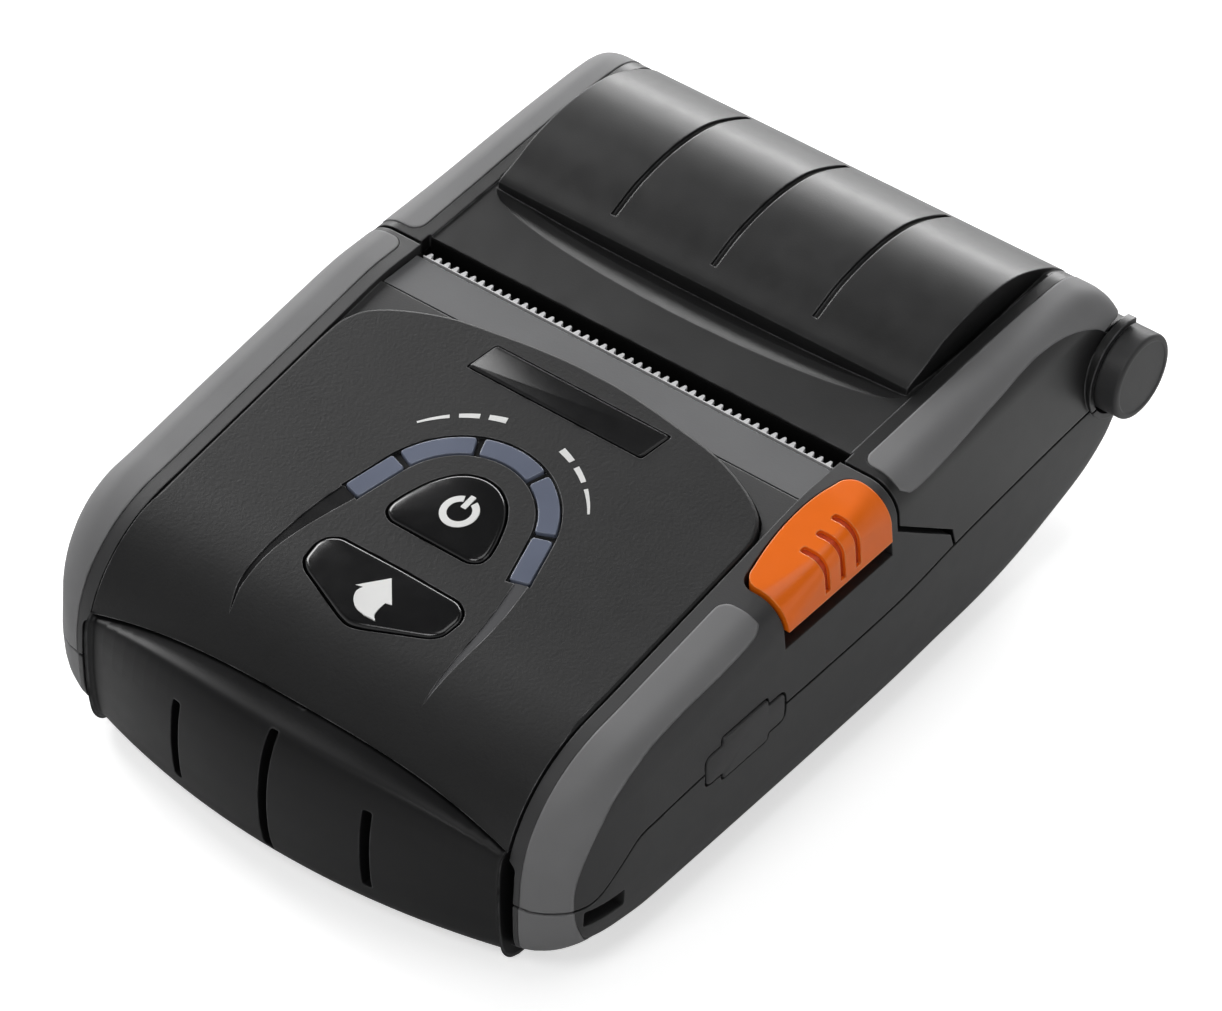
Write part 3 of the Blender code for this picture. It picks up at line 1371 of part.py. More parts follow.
def build_head():
    strip_rear = platen_centre[0] - platen_radius - platen_touch_gap
    strip_front = strip_rear - head_strip_depth
    high = plate_under - head_high_gap
    settle(box("print_head", (-head_half, strip_front, head_low), (head_half, strip_rear, high), "ceramic"))
    sink_rear = strip_front - fit_gap / 3
    sink_front = sink_rear - head_depth
    sink_high = high - wall / 2
    settle(box("head_sink", (-head_half, sink_front, head_low), (head_half, sink_rear, sink_high), "zinc"))
    wall_rear = frame_wall_y + frame_thickness
    room = sink_front - wall_rear - 2 * fit_gap
    low = frame_wall_low
    tall = frame_low_top - low
    bow = []
    for step in range(arc_steps + 3):
        share = step / (arc_steps + 2)
        reach = (room - head_spring_sheet) * (1 - (2 * share - 1) ** 2)
        bow.append((wall_rear + fit_gap + reach, low + share * tall))
    strip = bow + list(reversed([(y + head_spring_sheet, z) for y, z in bow]))
    settle(prism_x("head_spring", strip, -head_spring_half, head_spring_half, "steel"))
    plug_y = frame_front_y - wall
    plug_drop = (board_depth + board_gap) / math.cos(tilt) + cable_thickness
    plug_z = panel_marker_z + slope_rate * (plug_y - panel_marker_y) - plug_drop
    route = [(sink_rear - head_depth / 3, head_low - fit_gap - cable_thickness),
             (sink_front, head_low - 2 * wall), (frame_wall_y, head_low - wall),
             (frame_front_y, plug_z - 2 * wall), (plug_y, plug_z - wall), (plug_y - wall, plug_z)]
    ribbon = offset_line(route, 0) + list(reversed(offset_line(route, -cable_thickness)))
    settle(prism_x("head_cable", ribbon, -cable_half, cable_half, "cable"))


def build_motor():
    face = -frame_half + fit_gap
    motor = rod_x("stepper_motor", motor_centre, motor_radius, face, face + motor_length, "zinc")
    reach = motor_length / 2
    bore = motor_shaft_radius + sleeve_gap
    cut(motor, rod_x("motor_bore", motor_centre, bore, face - overrun, face + reach, sides=small_round_sides))
    settle(shade(motor))
    phase = motor_bearing_degrees + 180 + 180 / pinion_teeth
    pinion = prism_x("motor_pinion", gear_outline(motor_centre, pinion_teeth, phase),
                     -second_plane - gear_width, -second_plane, "brass")
    fuse(pinion, rod_x("motor_shaft", motor_centre, motor_shaft_radius, -second_plane - gear_width / 2,
                       face + reach - fit_gap, sides=small_round_sides))
    carry(pivot("motor_axis", (0, *motor_centre)), pinion)
    wheel = prism_x("reduction_gear", gear_outline(reduction_centre, large_teeth, motor_bearing_degrees),
                    -second_plane - gear_width, -second_plane, "gear")
    small_phase = reduction_bearing_degrees + 180 + 180 / small_teeth
    fuse(wheel, prism_x("small_gear", gear_outline(reduction_centre, small_teeth, small_phase),
                        -second_plane - gear_width / 2, -first_plane))
    bore = axle_radius + sleeve_gap
    cut(wheel, rod_x("gear_bore", reduction_centre, bore, -far_out, 0, sides=small_round_sides))
    carry(pivot("reduction_axis", (0, *reduction_centre)), wheel)
    axle_low = -second_plane - gear_width - fit_gap / 2
    axle = rod_x("reduction_axle", reduction_centre, axle_radius, axle_low, -frame_half, "steel",
                 small_round_sides)
    settle(shade(axle))


def build_lock():
    marker = pivot("lock_axis", (0, *lock_centre))
    lever_high = platen_centre[1] + lock_lever_width / 3
    hook_y = platen_centre[0] - platen_shaft_radius - lock_lever_gap
    inner = head_half + lock_lever_gap + sleeve_gap
    shaft_end = frame_half + frame_thickness + 2 * fit_gap
    crank_low = pusher_x - fit_gap
    crank_high = pusher_x + pusher_thickness + fit_gap
    shaft = rod_x("lock_shaft", lock_centre, lock_shaft_radius, -shaft_end, crank_high, "steel",
                  small_round_sides)
    carry(marker, shade(shaft))
    eye = lock_lever_width / 2 + lock_shaft_radius / 3
    bore = lock_shaft_radius + sleeve_gap
    outline = arc(lock_centre, eye, 180, 360, eye_arc_steps)
    outline += [(lock_shaft_y + lock_shaft_radius, lock_shaft_z + eye),
                (hook_y, lock_shaft_z + 2 * lock_lever_width), (hook_y, lever_high),
                (hook_y - lock_lever_width / 2, lever_high + lock_lever_width / 3),
                (lock_shaft_y - eye, lever_high - lock_lever_width)]
    for side, sign in (("left", -1), ("right", 1)):
        lever = prism_x("lock_lever_" + side, outline,
                        *sorted((sign * inner, sign * (inner + lock_lever_thickness))), finish="steel")
        cut(lever, rod_x("lock_lever_eye", lock_centre, bore, -far_out, far_out, sides=small_round_sides))
        carry(marker, lever)
    half = crank_width / 2
    tip = (lock_shaft_y - crank_length, lock_shaft_z)
    arm = arc(tip, half, 90, 270, eye_arc_steps) + arc(lock_centre, eye, 270, 450, eye_arc_steps)
    crank = prism_x("lock_crank", arm, crank_low, crank_high, "steel")
    cut(crank, rod_x("lock_crank_eye", lock_centre, bore, 0, far_out, sides=small_round_sides))
    carry(marker, crank)
    spring_radius = lock_shaft_radius + fit_gap + spring_wire
    spring_low = inner - fit_gap - spring_wire - spring_turns * spring_pitch
    settle(shade(coil("lock_spring", lock_centre, spring_radius, spring_low, "steel")))


# Roll tray and sensor

def build_tray():
    outlines = []
    for radius in (tray_outer, tray_radius):
        start = math.degrees(math.asin((tray_centre[1] - tray_rim) / radius))
        outlines.append(arc(tray_centre, radius, 180 + start, 360 - start, tray_arc_steps))
    outer, inner = outlines
    hollow = [(inner[0][0], far_above)] + inner + [(inner[-1][0], far_above)]
    tray = prism_x("roll_tray", outer, -tray_half - tray_thickness, tray_half + tray_thickness, "black")
    cut(tray, prism_x("tray_hollow", hollow, -tray_half, tray_half))
    settle(shade(tray))
    front = tray_front_y
    settle(box("paper_sensor", (-sensor_half, front, tray_rim + fit_gap),
               (sensor_half, front + sensor_depth, tray_rim + fit_gap + sensor_height), "black"))


# Paper cover

def build_cover():
    cover = shell("paper_cover", "black")
    add_collar(cover)
    keep(cover, prism_x("cover_limit", cover_region(), -far_out, far_out))
    ball = bmesh.new()
    bmesh.ops.create_uvsphere(ball, u_segments=scoop_segments, v_segments=scoop_rings, radius=1)
    bmesh.ops.scale(ball, verts=ball.verts, vec=(barrel_half, scoop_reach, scoop_depth))
    bmesh.ops.translate(ball, verts=ball.verts, vec=(0, barrel_front_y, roof_at(barrel_front_y)))
    cut(cover, solid("deck_scoop", ball, None))
    low = hinge_height + knuckle_radius / 2
    barrel = [(barrel_front_y, low)] + barrel_line + [(barrel_rear_y, low)]
    fuse(cover, prism_x("cover_barrel", barrel, -barrel_half, barrel_half))
    cut(cover, body_form("cover_room", cover_seam_y - overrun, body_rear - wall, wall, wall, wall))
    hollow = offset_line(barrel_line, wall)[1:]
    hollow = [(hollow[0][0], far_below)] + hollow + [(hollow[-1][0] - wall / 3, far_below)]
    cut(cover, prism_x("barrel_room", hollow, -barrel_half + wall, barrel_half - wall))
    fuse(cover, rod_x("cover_knuckle", hinge_centre, knuckle_radius, -knuckle_half, knuckle_half))
    for sign in (-1, 1):
        cut(cover, rod_x("tower_room", hinge_centre, cap_radius + collar_gap,
                         *sorted((sign * knuckle_half, sign * far_out))))
        bore_low = tower_low - pin_depth - fit_gap
        cut(cover, rod_x("knuckle_bore", hinge_centre, hinge_pin_radius + hinge_pin_gap,
                         *sorted((sign * bore_low, sign * (knuckle_half + tower_gap)))))
        cut(cover, skin("cover_seat", grip_region(cover_grip_shares, grip_edge_gap), sign,
                        grip_inner_x - grip_edge_gap, grip_depth + grip_seat_gap, fit_gap))
    cut(cover, box("slot_room", (-trough_half - fit_gap, far_front, far_below),
                   (trough_half + fit_gap, slot_rear_y, far_above)))
    for step in (-1, 0, 1):
        x = step * roof_groove_pitch
        inner = offset_line(barrel_line, roof_groove_depth)
        band = inner + list(reversed(offset_line(barrel_line, -overrun / 2)))
        groove = prism_x("roof_groove", band, x - roof_groove_width / 2, x + roof_groove_width / 2)
        front = barrel_front_y + roof_groove_front_inset
        rear = barrel_rear_y - roof_groove_rear_inset
        keep(groove, box("roof_groove_span", (x - roof_groove_pitch, front, hinge_height),
                         (x + roof_groove_pitch, rear, far_above)))
        cut(cover, groove)
    marker = pivot("cover_axis", (0, *hinge_centre))
    carry(marker, shade(cover))
    for side, sign in (("left", -1), ("right", 1)):
        region = grip_region(cover_grip_shares, 0)
        grip = skin("cover_grip_" + side, region, sign, grip_inner_x, grip_depth, grip_proud, "grip")
        keep(grip, prism_x("cover_grip_limit", cover_region(), -far_out, far_out))
        room = cap_radius + collar_gap + collar_thickness * (sign > 0) + grip_seat_gap
        cut(grip, rod_x("cover_grip_room", hinge_centre, room, -far_out, far_out))
        carry(marker, shade(grip))
    build_platen(marker)


def build_platen(cover_marker):
    y, z = platen_centre
    inner_roof = roof_at(y) - wall
    bar_front = y + platen_radius + fit_gap
    bar_high = inner_roof + (roof_at(bar_front) - roof_at(y)) - fit_gap
    bar_low = bar_high - holder_bar_height
    bar_rear = bar_front + holder_bar_depth
    bar = box("platen_holder", (-holder_high, bar_front, bar_low), (holder_high, bar_rear, bar_high), "zinc")
    cheek = [(y - holder_cheek_half, z - holder_cheek_half), (y + holder_cheek_half, z - holder_cheek_half),
             (bar_rear, bar_low), (bar_rear, bar_high), (y - holder_cheek_half, inner_roof - 3 * fit_gap)]
    for sign in (-1, 1):
        fuse(bar, prism_x("holder_cheek", cheek, *sorted((sign * holder_low, sign * holder_high))))
    sleeve = platen_shaft_radius + sleeve_gap
    cut(bar, rod_x("holder_bore", platen_centre, sleeve, -far_out, far_out, sides=small_round_sides))
    carry(cover_marker, bar)
    bush_low = frame_half + frame_thickness / 2 - bush_length / 2
    for side, sign in (("left", -1), ("right", 1)):
        bush = rod_x("platen_bush_" + side, platen_centre, bush_radius,
                     *sorted((sign * bush_low, sign * (bush_low + bush_length))), finish="brass")
        cut(bush, rod_x("bush_bore", platen_centre, sleeve, -far_out, far_out, sides=small_round_sides))
        carry(cover_marker, shade(bush))
    marker = pivot("platen_axis", (0, y, z))
    end = first_plane + gear_width + shaft_end_gap / 2
    shaft = rod_x("platen_shaft", platen_centre, platen_shaft_radius, -end, holder_high + fit_gap, "steel",
                  small_round_sides)
    roller = rod_x("platen_roller", platen_centre, platen_radius, -platen_half, platen_half, "rubber")
    cut(roller, rod_x("roller_bore", platen_centre, sleeve, -far_out, far_out, sides=small_round_sides))
    gear = prism_x("platen_gear", gear_outline(platen_centre, platen_teeth, reduction_bearing_degrees),
                   -first_plane - gear_width, -first_plane, "gear")
    cut(gear, rod_x("platen_gear_bore", platen_centre, sleeve, -far_out, 0, sides=small_round_sides))
    carry(marker, shade(shaft), shade(roller), gear)


# Hinge caps and pins, connector door, socket and screws

def build_hinge():
    for side, sign in (("left", -1), ("right", 1)):
        face = cap_faces[sign]
        blind = face - cap_floors[sign]
        pin = rod_x("hinge_pin_" + side, hinge_centre, hinge_pin_radius,
                    *sorted((sign * (tower_low - pin_depth), sign * (blind - fit_gap))), finish="steel",
                    sides=small_round_sides)
        settle(shade(pin))
        steps = ((cap_back, cap_radius), (face - cap_edge, cap_radius), (face, cap_radius - cap_edge))
        rings = [[(sign * x, y, z) for y, z in circle(hinge_centre, radius, round_sides)]
                 for x, radius in steps]
        cap = loft("hinge_cap_" + side, rings, "case")
        cut(cap, rod_x("cap_bore", hinge_centre, hinge_pin_radius + hinge_pin_gap,
                       *sorted((sign * (cap_back - overrun), sign * blind)), sides=small_round_sides))
        settle(shade(cap))


def build_door_and_socket():
    door_back = half_width - door_thickness
    door = prism_x("connector_door", door_outline(0), door_back, half_width + door_proud, "case")
    marker = pivot("door_axis", (half_width + door_proud, door_y - door_long / 2, door_z))
    carry(marker, door)
    face = half_width - door_thickness - 2 * door_gap
    back = face - socket_depth
    low = (back, door_y - socket_width / 2, door_z - socket_height / 2)
    high = (face, door_y + socket_width / 2, door_z + socket_height / 2)
    socket = box("data_socket", low, high, "steel")
    cut(socket, box("socket_mouth", (back + socket_wall, low[1] + socket_wall, low[2] + socket_wall),
                    (far_out, high[1] - socket_wall, high[2] - socket_wall)))
    settle(socket)
    board_top = low[2] - fit_gap
    board_reach = port_board_length / 2
    board_inner = bay_half + bay_wall + fit_gap
    settle(box("port_board", (board_inner, door_y - board_reach, board_top - port_board_thickness),
               (half_width - wall - 2 * fit_gap, door_y + board_reach, board_top), "board"))


def build_case_screws():
    head_low = screw_recess - screw_gap - screw_head_height
    number = 0
    for sign in (-1, 1):
        for x, y in ((front_screw_x, front_screw_y), (rear_screw_x, rear_screw_y)):
            number += 1
            profile = [(screw_head_radius, head_low), (screw_head_radius, head_low + screw_head_height),
                       (screw_radius, head_low + screw_head_height), (screw_radius, boss_split + screw_bite)]
            settle(shade(spindle("case_screw_" + str(number), (sign * x, y), profile, "steel")))


build_lower_case()
build_corner_grips()
build_upper_case()
build_rail_grips()
build_front_panel()
build_panel_pieces()
build_plate_and_tear_bar()
build_battery()
build_lever()
build_frame()
build_head()
build_motor()
build_lock()
build_tray()
build_cover()
build_hinge()
build_door_and_socket()
build_case_screws()
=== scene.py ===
import bisect
import json
import math

import bmesh
import bpy
from mathutils import Matrix, Vector
from mathutils.bvhtree import BVHTree
from mathutils.interpolate import poly_3d_calc

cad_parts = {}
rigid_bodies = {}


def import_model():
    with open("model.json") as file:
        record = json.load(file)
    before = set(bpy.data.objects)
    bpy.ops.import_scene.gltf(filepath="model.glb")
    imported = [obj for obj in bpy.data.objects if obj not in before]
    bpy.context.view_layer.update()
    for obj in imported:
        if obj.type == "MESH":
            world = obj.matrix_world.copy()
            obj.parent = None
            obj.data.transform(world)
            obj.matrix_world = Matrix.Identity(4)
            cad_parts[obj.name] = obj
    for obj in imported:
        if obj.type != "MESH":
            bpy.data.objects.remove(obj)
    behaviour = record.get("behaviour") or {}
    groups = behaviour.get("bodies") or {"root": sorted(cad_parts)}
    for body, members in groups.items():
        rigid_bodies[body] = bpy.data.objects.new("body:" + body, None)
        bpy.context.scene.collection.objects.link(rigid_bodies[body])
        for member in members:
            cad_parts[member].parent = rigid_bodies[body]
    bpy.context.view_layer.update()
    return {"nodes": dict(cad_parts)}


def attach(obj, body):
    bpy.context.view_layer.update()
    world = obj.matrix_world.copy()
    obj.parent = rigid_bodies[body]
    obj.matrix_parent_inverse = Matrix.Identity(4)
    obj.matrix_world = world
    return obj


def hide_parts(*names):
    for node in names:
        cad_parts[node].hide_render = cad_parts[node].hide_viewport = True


for leftover in list(bpy.data.objects):
    bpy.data.objects.remove(leftover)
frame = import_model()
print("frame loaded:", len(frame["nodes"]), "nodes")

mm = 0.001   # sizes below are millimetres; x to the lever side, y to the rear, z up

body = {
    "length": 112.0, "height": 38.8, "halfWidth": 39.5, "wall": 1.8, "shoulder": 4.0, "belly": 8.0,
    "cornerShare": 0.34, "upperLean": 0.09, "lowerLean": 0.05, "arcSteps": 9, "lineStep": 0.8, "far": 4.0,
    "seamGap": 0.4, "lidGap": 0.5, "lidSeam": 8.1536, "elbowDrop": 5.5, "footBack": 9.8, "footRise": 2.2, "toeBack": 0.4,
    "slopeFirst": (-0.2946, 0.7216), "slopeLast": (0.0089, 0.8634),
    "rail": [(-0.4554, 0.270), (-0.4545, 0.335), (-0.4500, 0.408), (-0.4420, 0.475), (-0.4295, 0.538),
             (-0.4135, 0.592), (-0.3940, 0.638), (-0.3700, 0.675), (-0.3390, 0.702), (-0.2946, 0.7216),
             (-0.1040, 0.8105), (0.0089, 0.8634), (0.0400, 0.8670), (0.0728, 0.8680), (0.1786, 0.8850),
             (0.2679, 0.9020), (0.3393, 0.9115), (0.4018, 0.9124), (0.4290, 0.9040), (0.4464, 0.8810),
             (0.4607, 0.8400), (0.4705, 0.7880), (0.4755, 0.7320), (0.4768, 0.6700)],
    "bottom": [(-0.4554, 0.130), (-0.4500, 0.098), (-0.4300, 0.060), (-0.4050, 0.036), (-0.3700, 0.016),
               (-0.3350, 0.004), (-0.3000, 0.0), (0.1900, 0.0), (0.2500, 0.010), (0.3036, 0.035),
               (0.3571, 0.078), (0.4150, 0.146), (0.4490, 0.230), (0.4670, 0.335), (0.4740, 0.440),
               (0.4768, 0.560)],
    "plan": [(-0.4554, 0.772), (-0.4535, 0.822), (-0.4470, 0.871), (-0.4350, 0.917), (-0.4150, 0.957),
             (-0.3880, 0.982), (-0.3480, 0.996), (-0.2950, 1.0), (0.0728, 1.0), (0.1700, 0.992),
             (0.2679, 0.988), (0.3571, 0.985), (0.4290, 0.985), (0.4550, 0.984), (0.4768, 0.972)],
    "parting": [(-0.60, 0.278), (-0.4500, 0.280), (-0.4070, 0.292), (-0.3740, 0.372), (-0.3450, 0.438),
                (-0.3190, 0.448), (-0.2500, 0.461), (0.0700, 0.466), (0.1640, 0.487), (0.2700, 0.510),
                (0.4020, 0.534), (0.4500, 0.545), (0.60, 0.548)]}

hinge = {"y": 50.6, "z": 23.9, "capRadius": 5.4, "capFace": 42.2, "capFlush": 38.67, "capEdge": 0.45, "capDish": 0.12,
         "pinRadius": 1.6, "collarGap": 0.4, "collarWidth": 0.7, "collarProud": 0.5, "knuckle": 4.4, "knuckleHalf": 33.0,
         "towerLow": 33.3, "towerFace": 37.5, "side": 38.87, "sides": 64}

panel = {"half": 30.1, "trough": 30.4, "troughDrop": 0.8, "rise": 0.2, "thick": 2.6, "deck": 1.4, "topY": 2.404, "originY": -20.0,
         "edge": [(0.0, -40.0), (0.0, -0.34), (0.06, -0.16), (0.18, -0.05), (0.36, 0.02), (0.36, 1.0)],
         "arch": [(1.0, 0.482), (0.9934, 0.368), (0.980, 0.3225), (0.950, 0.262), (0.864, 0.186), (0.658, 0.0873),
                  (0.4485, 0.0437), (0.266, 0.0152), (0.10, 0.0), (0.0, 0.0)], "archDepth": 26.0,
         "bandCentre": -3.15, "bandInner": 9.6, "bandOuter": 12.2, "channelDepth": 0.45, "channelEdge": 0.22,
         "windows": [(-102, -72), (-68, -25), (-21, 21), (25, 68), (72, 102)], "bend": 75, "legPitch": 0.222,
         "tails": {"Left": ([(13.4, -5.9), (14.25, -10.2), (14.65, -15.0), (14.7, -18.5), (14.65, -20.9), (14.4, -23.2), (13.3, -26.2)],
                            [(13.9, -23.4), (13.95, -21.3), (13.9, -18.6), (13.3, -14.3), (12.2, -10.3), (10.98, -6.6)]),
                   "Right": ([(13.3, -5.95), (13.85, -10.4), (14.0, -14.9), (13.8, -19.7), (13.4, -24.8)],
                             [(13.2, -19.8), (12.95, -15.3), (12.5, -10.8), (11.75, -6.4)])}, "tailDepth": 0.35,
         "badgeWidth": 25.0, "badgeHeight": 4.2, "badgeCentre": 17.745, "badgeLean": 0.8,
         "dashRadius": 15.3, "dashes": [(15, 23, 0.85), (27, 36, 0.70), (40, 54, 0.50)]}

buttons = {"gap": 0.25, "proud": 0.5, "depth": 4.0, "edge": 0.55, "crown": 0.22,
           "power": {"width": 14.0, "height": 10.6, "bottom": -7.05,
                     "half": [(0.0, 0.0), (0.80, 0.0), (0.97, 0.07), (1.0, 0.18), (0.94, 0.36), (0.78, 0.64),
                              (0.55, 0.85), (0.28, 0.965), (0.0, 1.0)]},
           "feed": {"width": 20.6, "height": 9.2, "bottom": -21.15,
                    "half": [(0.0, 0.0), (0.15, 0.04), (0.86, 0.36), (0.97, 0.47), (1.0, 0.76), (0.95, 0.89),
                             (0.82, 0.985), (0.0, 1.0)]},
           "ringCentre": (0.4, -2.1), "ringOuter": 2.3, "ringInner": 1.45, "ringGap": 22, "barHalf": 0.36, "barEnds": (0.6, 2.6),
           "arrow": [(0.28, -13.79), (2.78, -16.74), (1.98, -16.93), (1.90, -18.03), (2.05, -18.92), (2.61, -19.45), (1.13, -19.53),
                     (-0.32, -19.22), (-1.39, -18.37), (-1.85, -17.25), (-1.57, -16.50), (-2.46, -16.72)]}

plate = {"front": 1.104, "rear": 7.004, "thick": 1.2, "gap": 0.2, "tearHalf": 29.6, "tearThick": 0.5, "tip": 8.354, "tearFront": 7.42,
         "tooth": 0.78, "pitch": 1.26, "slotShadeThick": 0.12, "slotShadeDrop": 0.35, "leg": 0.4, "slotRear": 9.954, "headHalf": 28.0, "headFront": 4.0}

nose = {"half": 30.0, "gap": 0.3, "back": -44.3, "pocketBack": -44.0, "steps": 30, "edge": 0.8, "pitch": 13.8,
        "grooveWidth": 1.3, "grooveDepth": 0.8, "seamMiddle": 0.5193, "seamEnd": 0.4459, "seamPower": 3,
        "grooves": [(-1, 16.8, 5.6), (0, 20.0, 3.3), (1, 16.8, 5.6)],
        "middle": [(-0.4080, 0.5080), (-0.4330, 0.5150), (-0.4590, 0.5260), (-0.4740, 0.5180), (-0.4860, 0.4750),
                   (-0.4950, 0.4000), (-0.4990, 0.3250), (-0.5, 0.2500), (-0.4970, 0.1500), (-0.4890, 0.0780),
                   (-0.4740, 0.0340), (-0.4500, 0.0200)],
        "end": [(-0.4400, 0.4390), (-0.4465, 0.4400), (-0.4500, 0.4330), (-0.4515, 0.4250), (-0.4540, 0.3860),
                (-0.4550, 0.3300), (-0.4555, 0.2600), (-0.4550, 0.2000), (-0.4530, 0.1300), (-0.4490, 0.0800),
                (-0.4400, 0.0450), (-0.4280, 0.0300)]}

cornerSlot = {"low": 3.4, "high": 17.0, "near": 29.8, "far": 31.35, "back": -47.6}

battery = {"half": 26.0, "low": 2.5, "high": 18.4, "rear": -11.2, "gap": 0.4, "wall": 1.5, "contactHalf": 7.3,
           "contactLow": 6.7, "contactHigh": 12.3, "latchY": -35.0, "latchLength": 8.0, "latchWidth": 14.0,
           "latchSink": 0.2, "latchThick": 0.8, "bolt": 3.0, "travel": 3.0, "slack": 0.3}

grips = {"depth": 0.8, "proud": 0.08, "seatGap": 0.3, "edgeGap": 0.07, "corner": 1.6, "inner": 32.2, "footInner": 32.0,
         "front": [(-0.1390, 0.7750), (-0.1480, 0.7600), (-0.1900, 0.7370), (-0.2800, 0.7010), (-0.3390, 0.6650),
                   (-0.3750, 0.6090), (-0.3970, 0.5300), (-0.4130, 0.4400), (-0.4220, 0.3600), (-0.4250, 0.2700)],
         "left": [(0.0640, 0.9000), (0.0640, 0.8300), (0.0560, 0.8120), (-0.0200, 0.7990), (-0.1480, 0.7560),
                  (-0.1900, 0.7370), (-0.2800, 0.7010), (-0.3390, 0.6650), (-0.3750, 0.6090), (-0.3970, 0.5300),
                  (-0.4130, 0.4400), (-0.4220, 0.3600), (-0.4250, 0.2700)],
         "foot": [(-0.4250, 0.2900), (-0.4200, 0.2050), (-0.4060, 0.1280), (-0.3800, 0.0700), (-0.3480, 0.0400),
                  (-0.3400, 0.0100)],
         "lid": [(0.0850, 0.9500), (0.0850, 0.8330), (0.0950, 0.8130), (0.1400, 0.8130), (0.2450, 0.8500),
                 (0.3250, 0.8740), (0.3800, 0.8590), (0.4170, 0.8120), (0.4420, 0.7450)]}

lever = {"front": -12.5, "rear": 6.4, "inner": 31.6, "bow": 0.85, "corner": 2.0, "drop": 5.2, "travel": 2.0, "gap": 0.4,
         "proud": 0.4, "reserve": 0.4, "wall": 1.4, "pusherX": 32.2, "pusherThick": 1.6, "pusherWidth": 2.4,
         "pusherY": 1.5, "pusherLow": 17.45, "ribPitch": 2.8, "ribWidth": 0.95, "ribDepth": 0.5, "ribBack": 7.1,
         "ribInner": 35.2, "ribs": 3, "tighter": 2.3, "ribFoot": 0.8}

lid = {"half": 29.7, "deckDrop": 0.25, "gripRooms": {-1: 6.2, 1: 6.9}, "scoops": [(5.2, 0.80, 29.7), (2.2, 1.15, 26.5)],
       "groovePitch": 14.65, "grooveWidth": 0.8, "grooveDepth": 0.5, "grooveFront": 2.7, "grooveRear": 3.2,
       "endWidth": 0.85, "endDepth": 1.3, "endSpan": (1.2, 27.0),
       "barrel": [(0.1890, 0.880), (0.1905, 0.9010), (0.2165, 0.9310), (0.2520, 0.9720), (0.2900, 0.9940),
                  (0.3200, 1.0), (0.3480, 0.9960), (0.3780, 0.9800), (0.4120, 0.9400), (0.4440, 0.8870),
                  (0.4650, 0.8310), (0.4720, 0.7700), (0.4720, 0.7000)]}

door = {"y": -20.5, "z": 17.8, "long": 14.0, "low": 4.0, "short": 8.0, "tall": 6.0, "thick": 1.1, "gap": 0.3, "proud": 0.1,
        "socketWidth": 7.4, "socketHeight": 3.6}

strap = {"y": -43.7, "z": 9.2, "long": 5.6, "tall": 2.4}

screws = {"places": [(30.8, -38.0), (31.5, -10.0)], "recess": 3.2, "radius": 2.2}


# lines and outlines

def throughPoints(points, step, fixed=0):   # a smooth line through given points
    dots = [Vector(point) for point in points]
    dots = [dots[0] * 2 - dots[1]] + dots + [dots[-1] * 2 - dots[-2]]
    line = [dots[1]]
    for row in zip(dots, dots[1:], dots[2:], dots[3:]):
        knots = [0.0]
        for first, second in zip(row, row[1:]):
            knots.append(knots[-1] + math.sqrt(max((second - first).length, 1e-9)))
        parts = fixed or max(int((row[2] - row[1]).length / step), 1)
        for part in range(1, parts + 1):
            t = knots[1] + (knots[2] - knots[1]) * part / parts
            near = [row[i].lerp(row[i + 1], (t - knots[i]) / (knots[i + 1] - knots[i])) for i in range(3)]
            wide = [near[i].lerp(near[i + 1], (t - knots[i]) / (knots[i + 2] - knots[i])) for i in range(2)]
            line.append(wide[0].lerp(wide[1], (t - knots[1]) / (knots[2] - knots[1])))
    return [(dot.x, dot.y) for dot in line]


def scaled(shares):
    return [(along * body["length"], up * body["height"]) for along, up in shares]


def smooth(shares):
    return throughPoints(scaled(shares), body["lineStep"])


def offsetLine(points, distance):   # to the right of the line's direction
    moved = []
    for index, (a, b) in enumerate(points):
        before = points[max(index - 1, 0)]
        after = points[min(index + 1, len(points) - 1)]
        run, rise = after[0] - before[0], after[1] - before[1]
        length = math.hypot(run, rise)
        moved.append((a + distance * rise / length, b - distance * run / length))
    return moved


def reader(points):   # reads a line as a function of its first coordinate
    places, values = [points[0][0]], [points[0][1]]
    for place, value in points[1:]:
        if place > places[-1] + 1e-5:
            places.append(place)
            values.append(value)

    def read(place):
        spot = bisect.bisect(places, place)
        if spot in (0, len(places)):
            return values[min(spot, len(values) - 1)]
        share = (place - places[spot - 1]) / (places[spot] - places[spot - 1])
        return values[spot - 1] + (values[spot] - values[spot - 1]) * share
    return read


railLine = smooth(body["rail"])
bottomLine = [(y, max(z, 0.0)) for y, z in smooth(body["bottom"])]
planLine = throughPoints([(along * body["length"], out * body["halfWidth"]) for along, out in body["plan"]], body["lineStep"])
partingLine = smooth(body["parting"])
roofAt = reader(railLine)
halfAt = reader(planLine)
partingAt = reader(partingLine)
bodyFront, bodyRear = railLine[0][0], railLine[-1][0]
farBelow, farAbove = -body["far"], body["height"] + body["far"]
farOut = hinge["capFace"] + body["far"]
farFront, farRear = -body["length"] / 2 - body["far"], body["length"] / 2 + body["far"]
slopeFirst, slopeLast = scaled([body["slopeFirst"], body["slopeLast"]])
slopeRate = (slopeLast[1] - slopeFirst[1]) / (slopeLast[0] - slopeFirst[0])
tilt = math.atan(slopeRate)
panelHeight = slopeFirst[1] + slopeRate * (panel["originY"] - slopeFirst[0]) + panel["rise"] / math.cos(tilt)
panelPlane = Matrix.Translation((0, panel["originY"] * mm, panelHeight * mm)) @ Matrix.Rotation(tilt, 4, "X")
deckUnder = panel["thick"] - panel["rise"] + 0.3 + panel["deck"]
plateTop = roofAt(plate["front"]) - panel["troughDrop"]


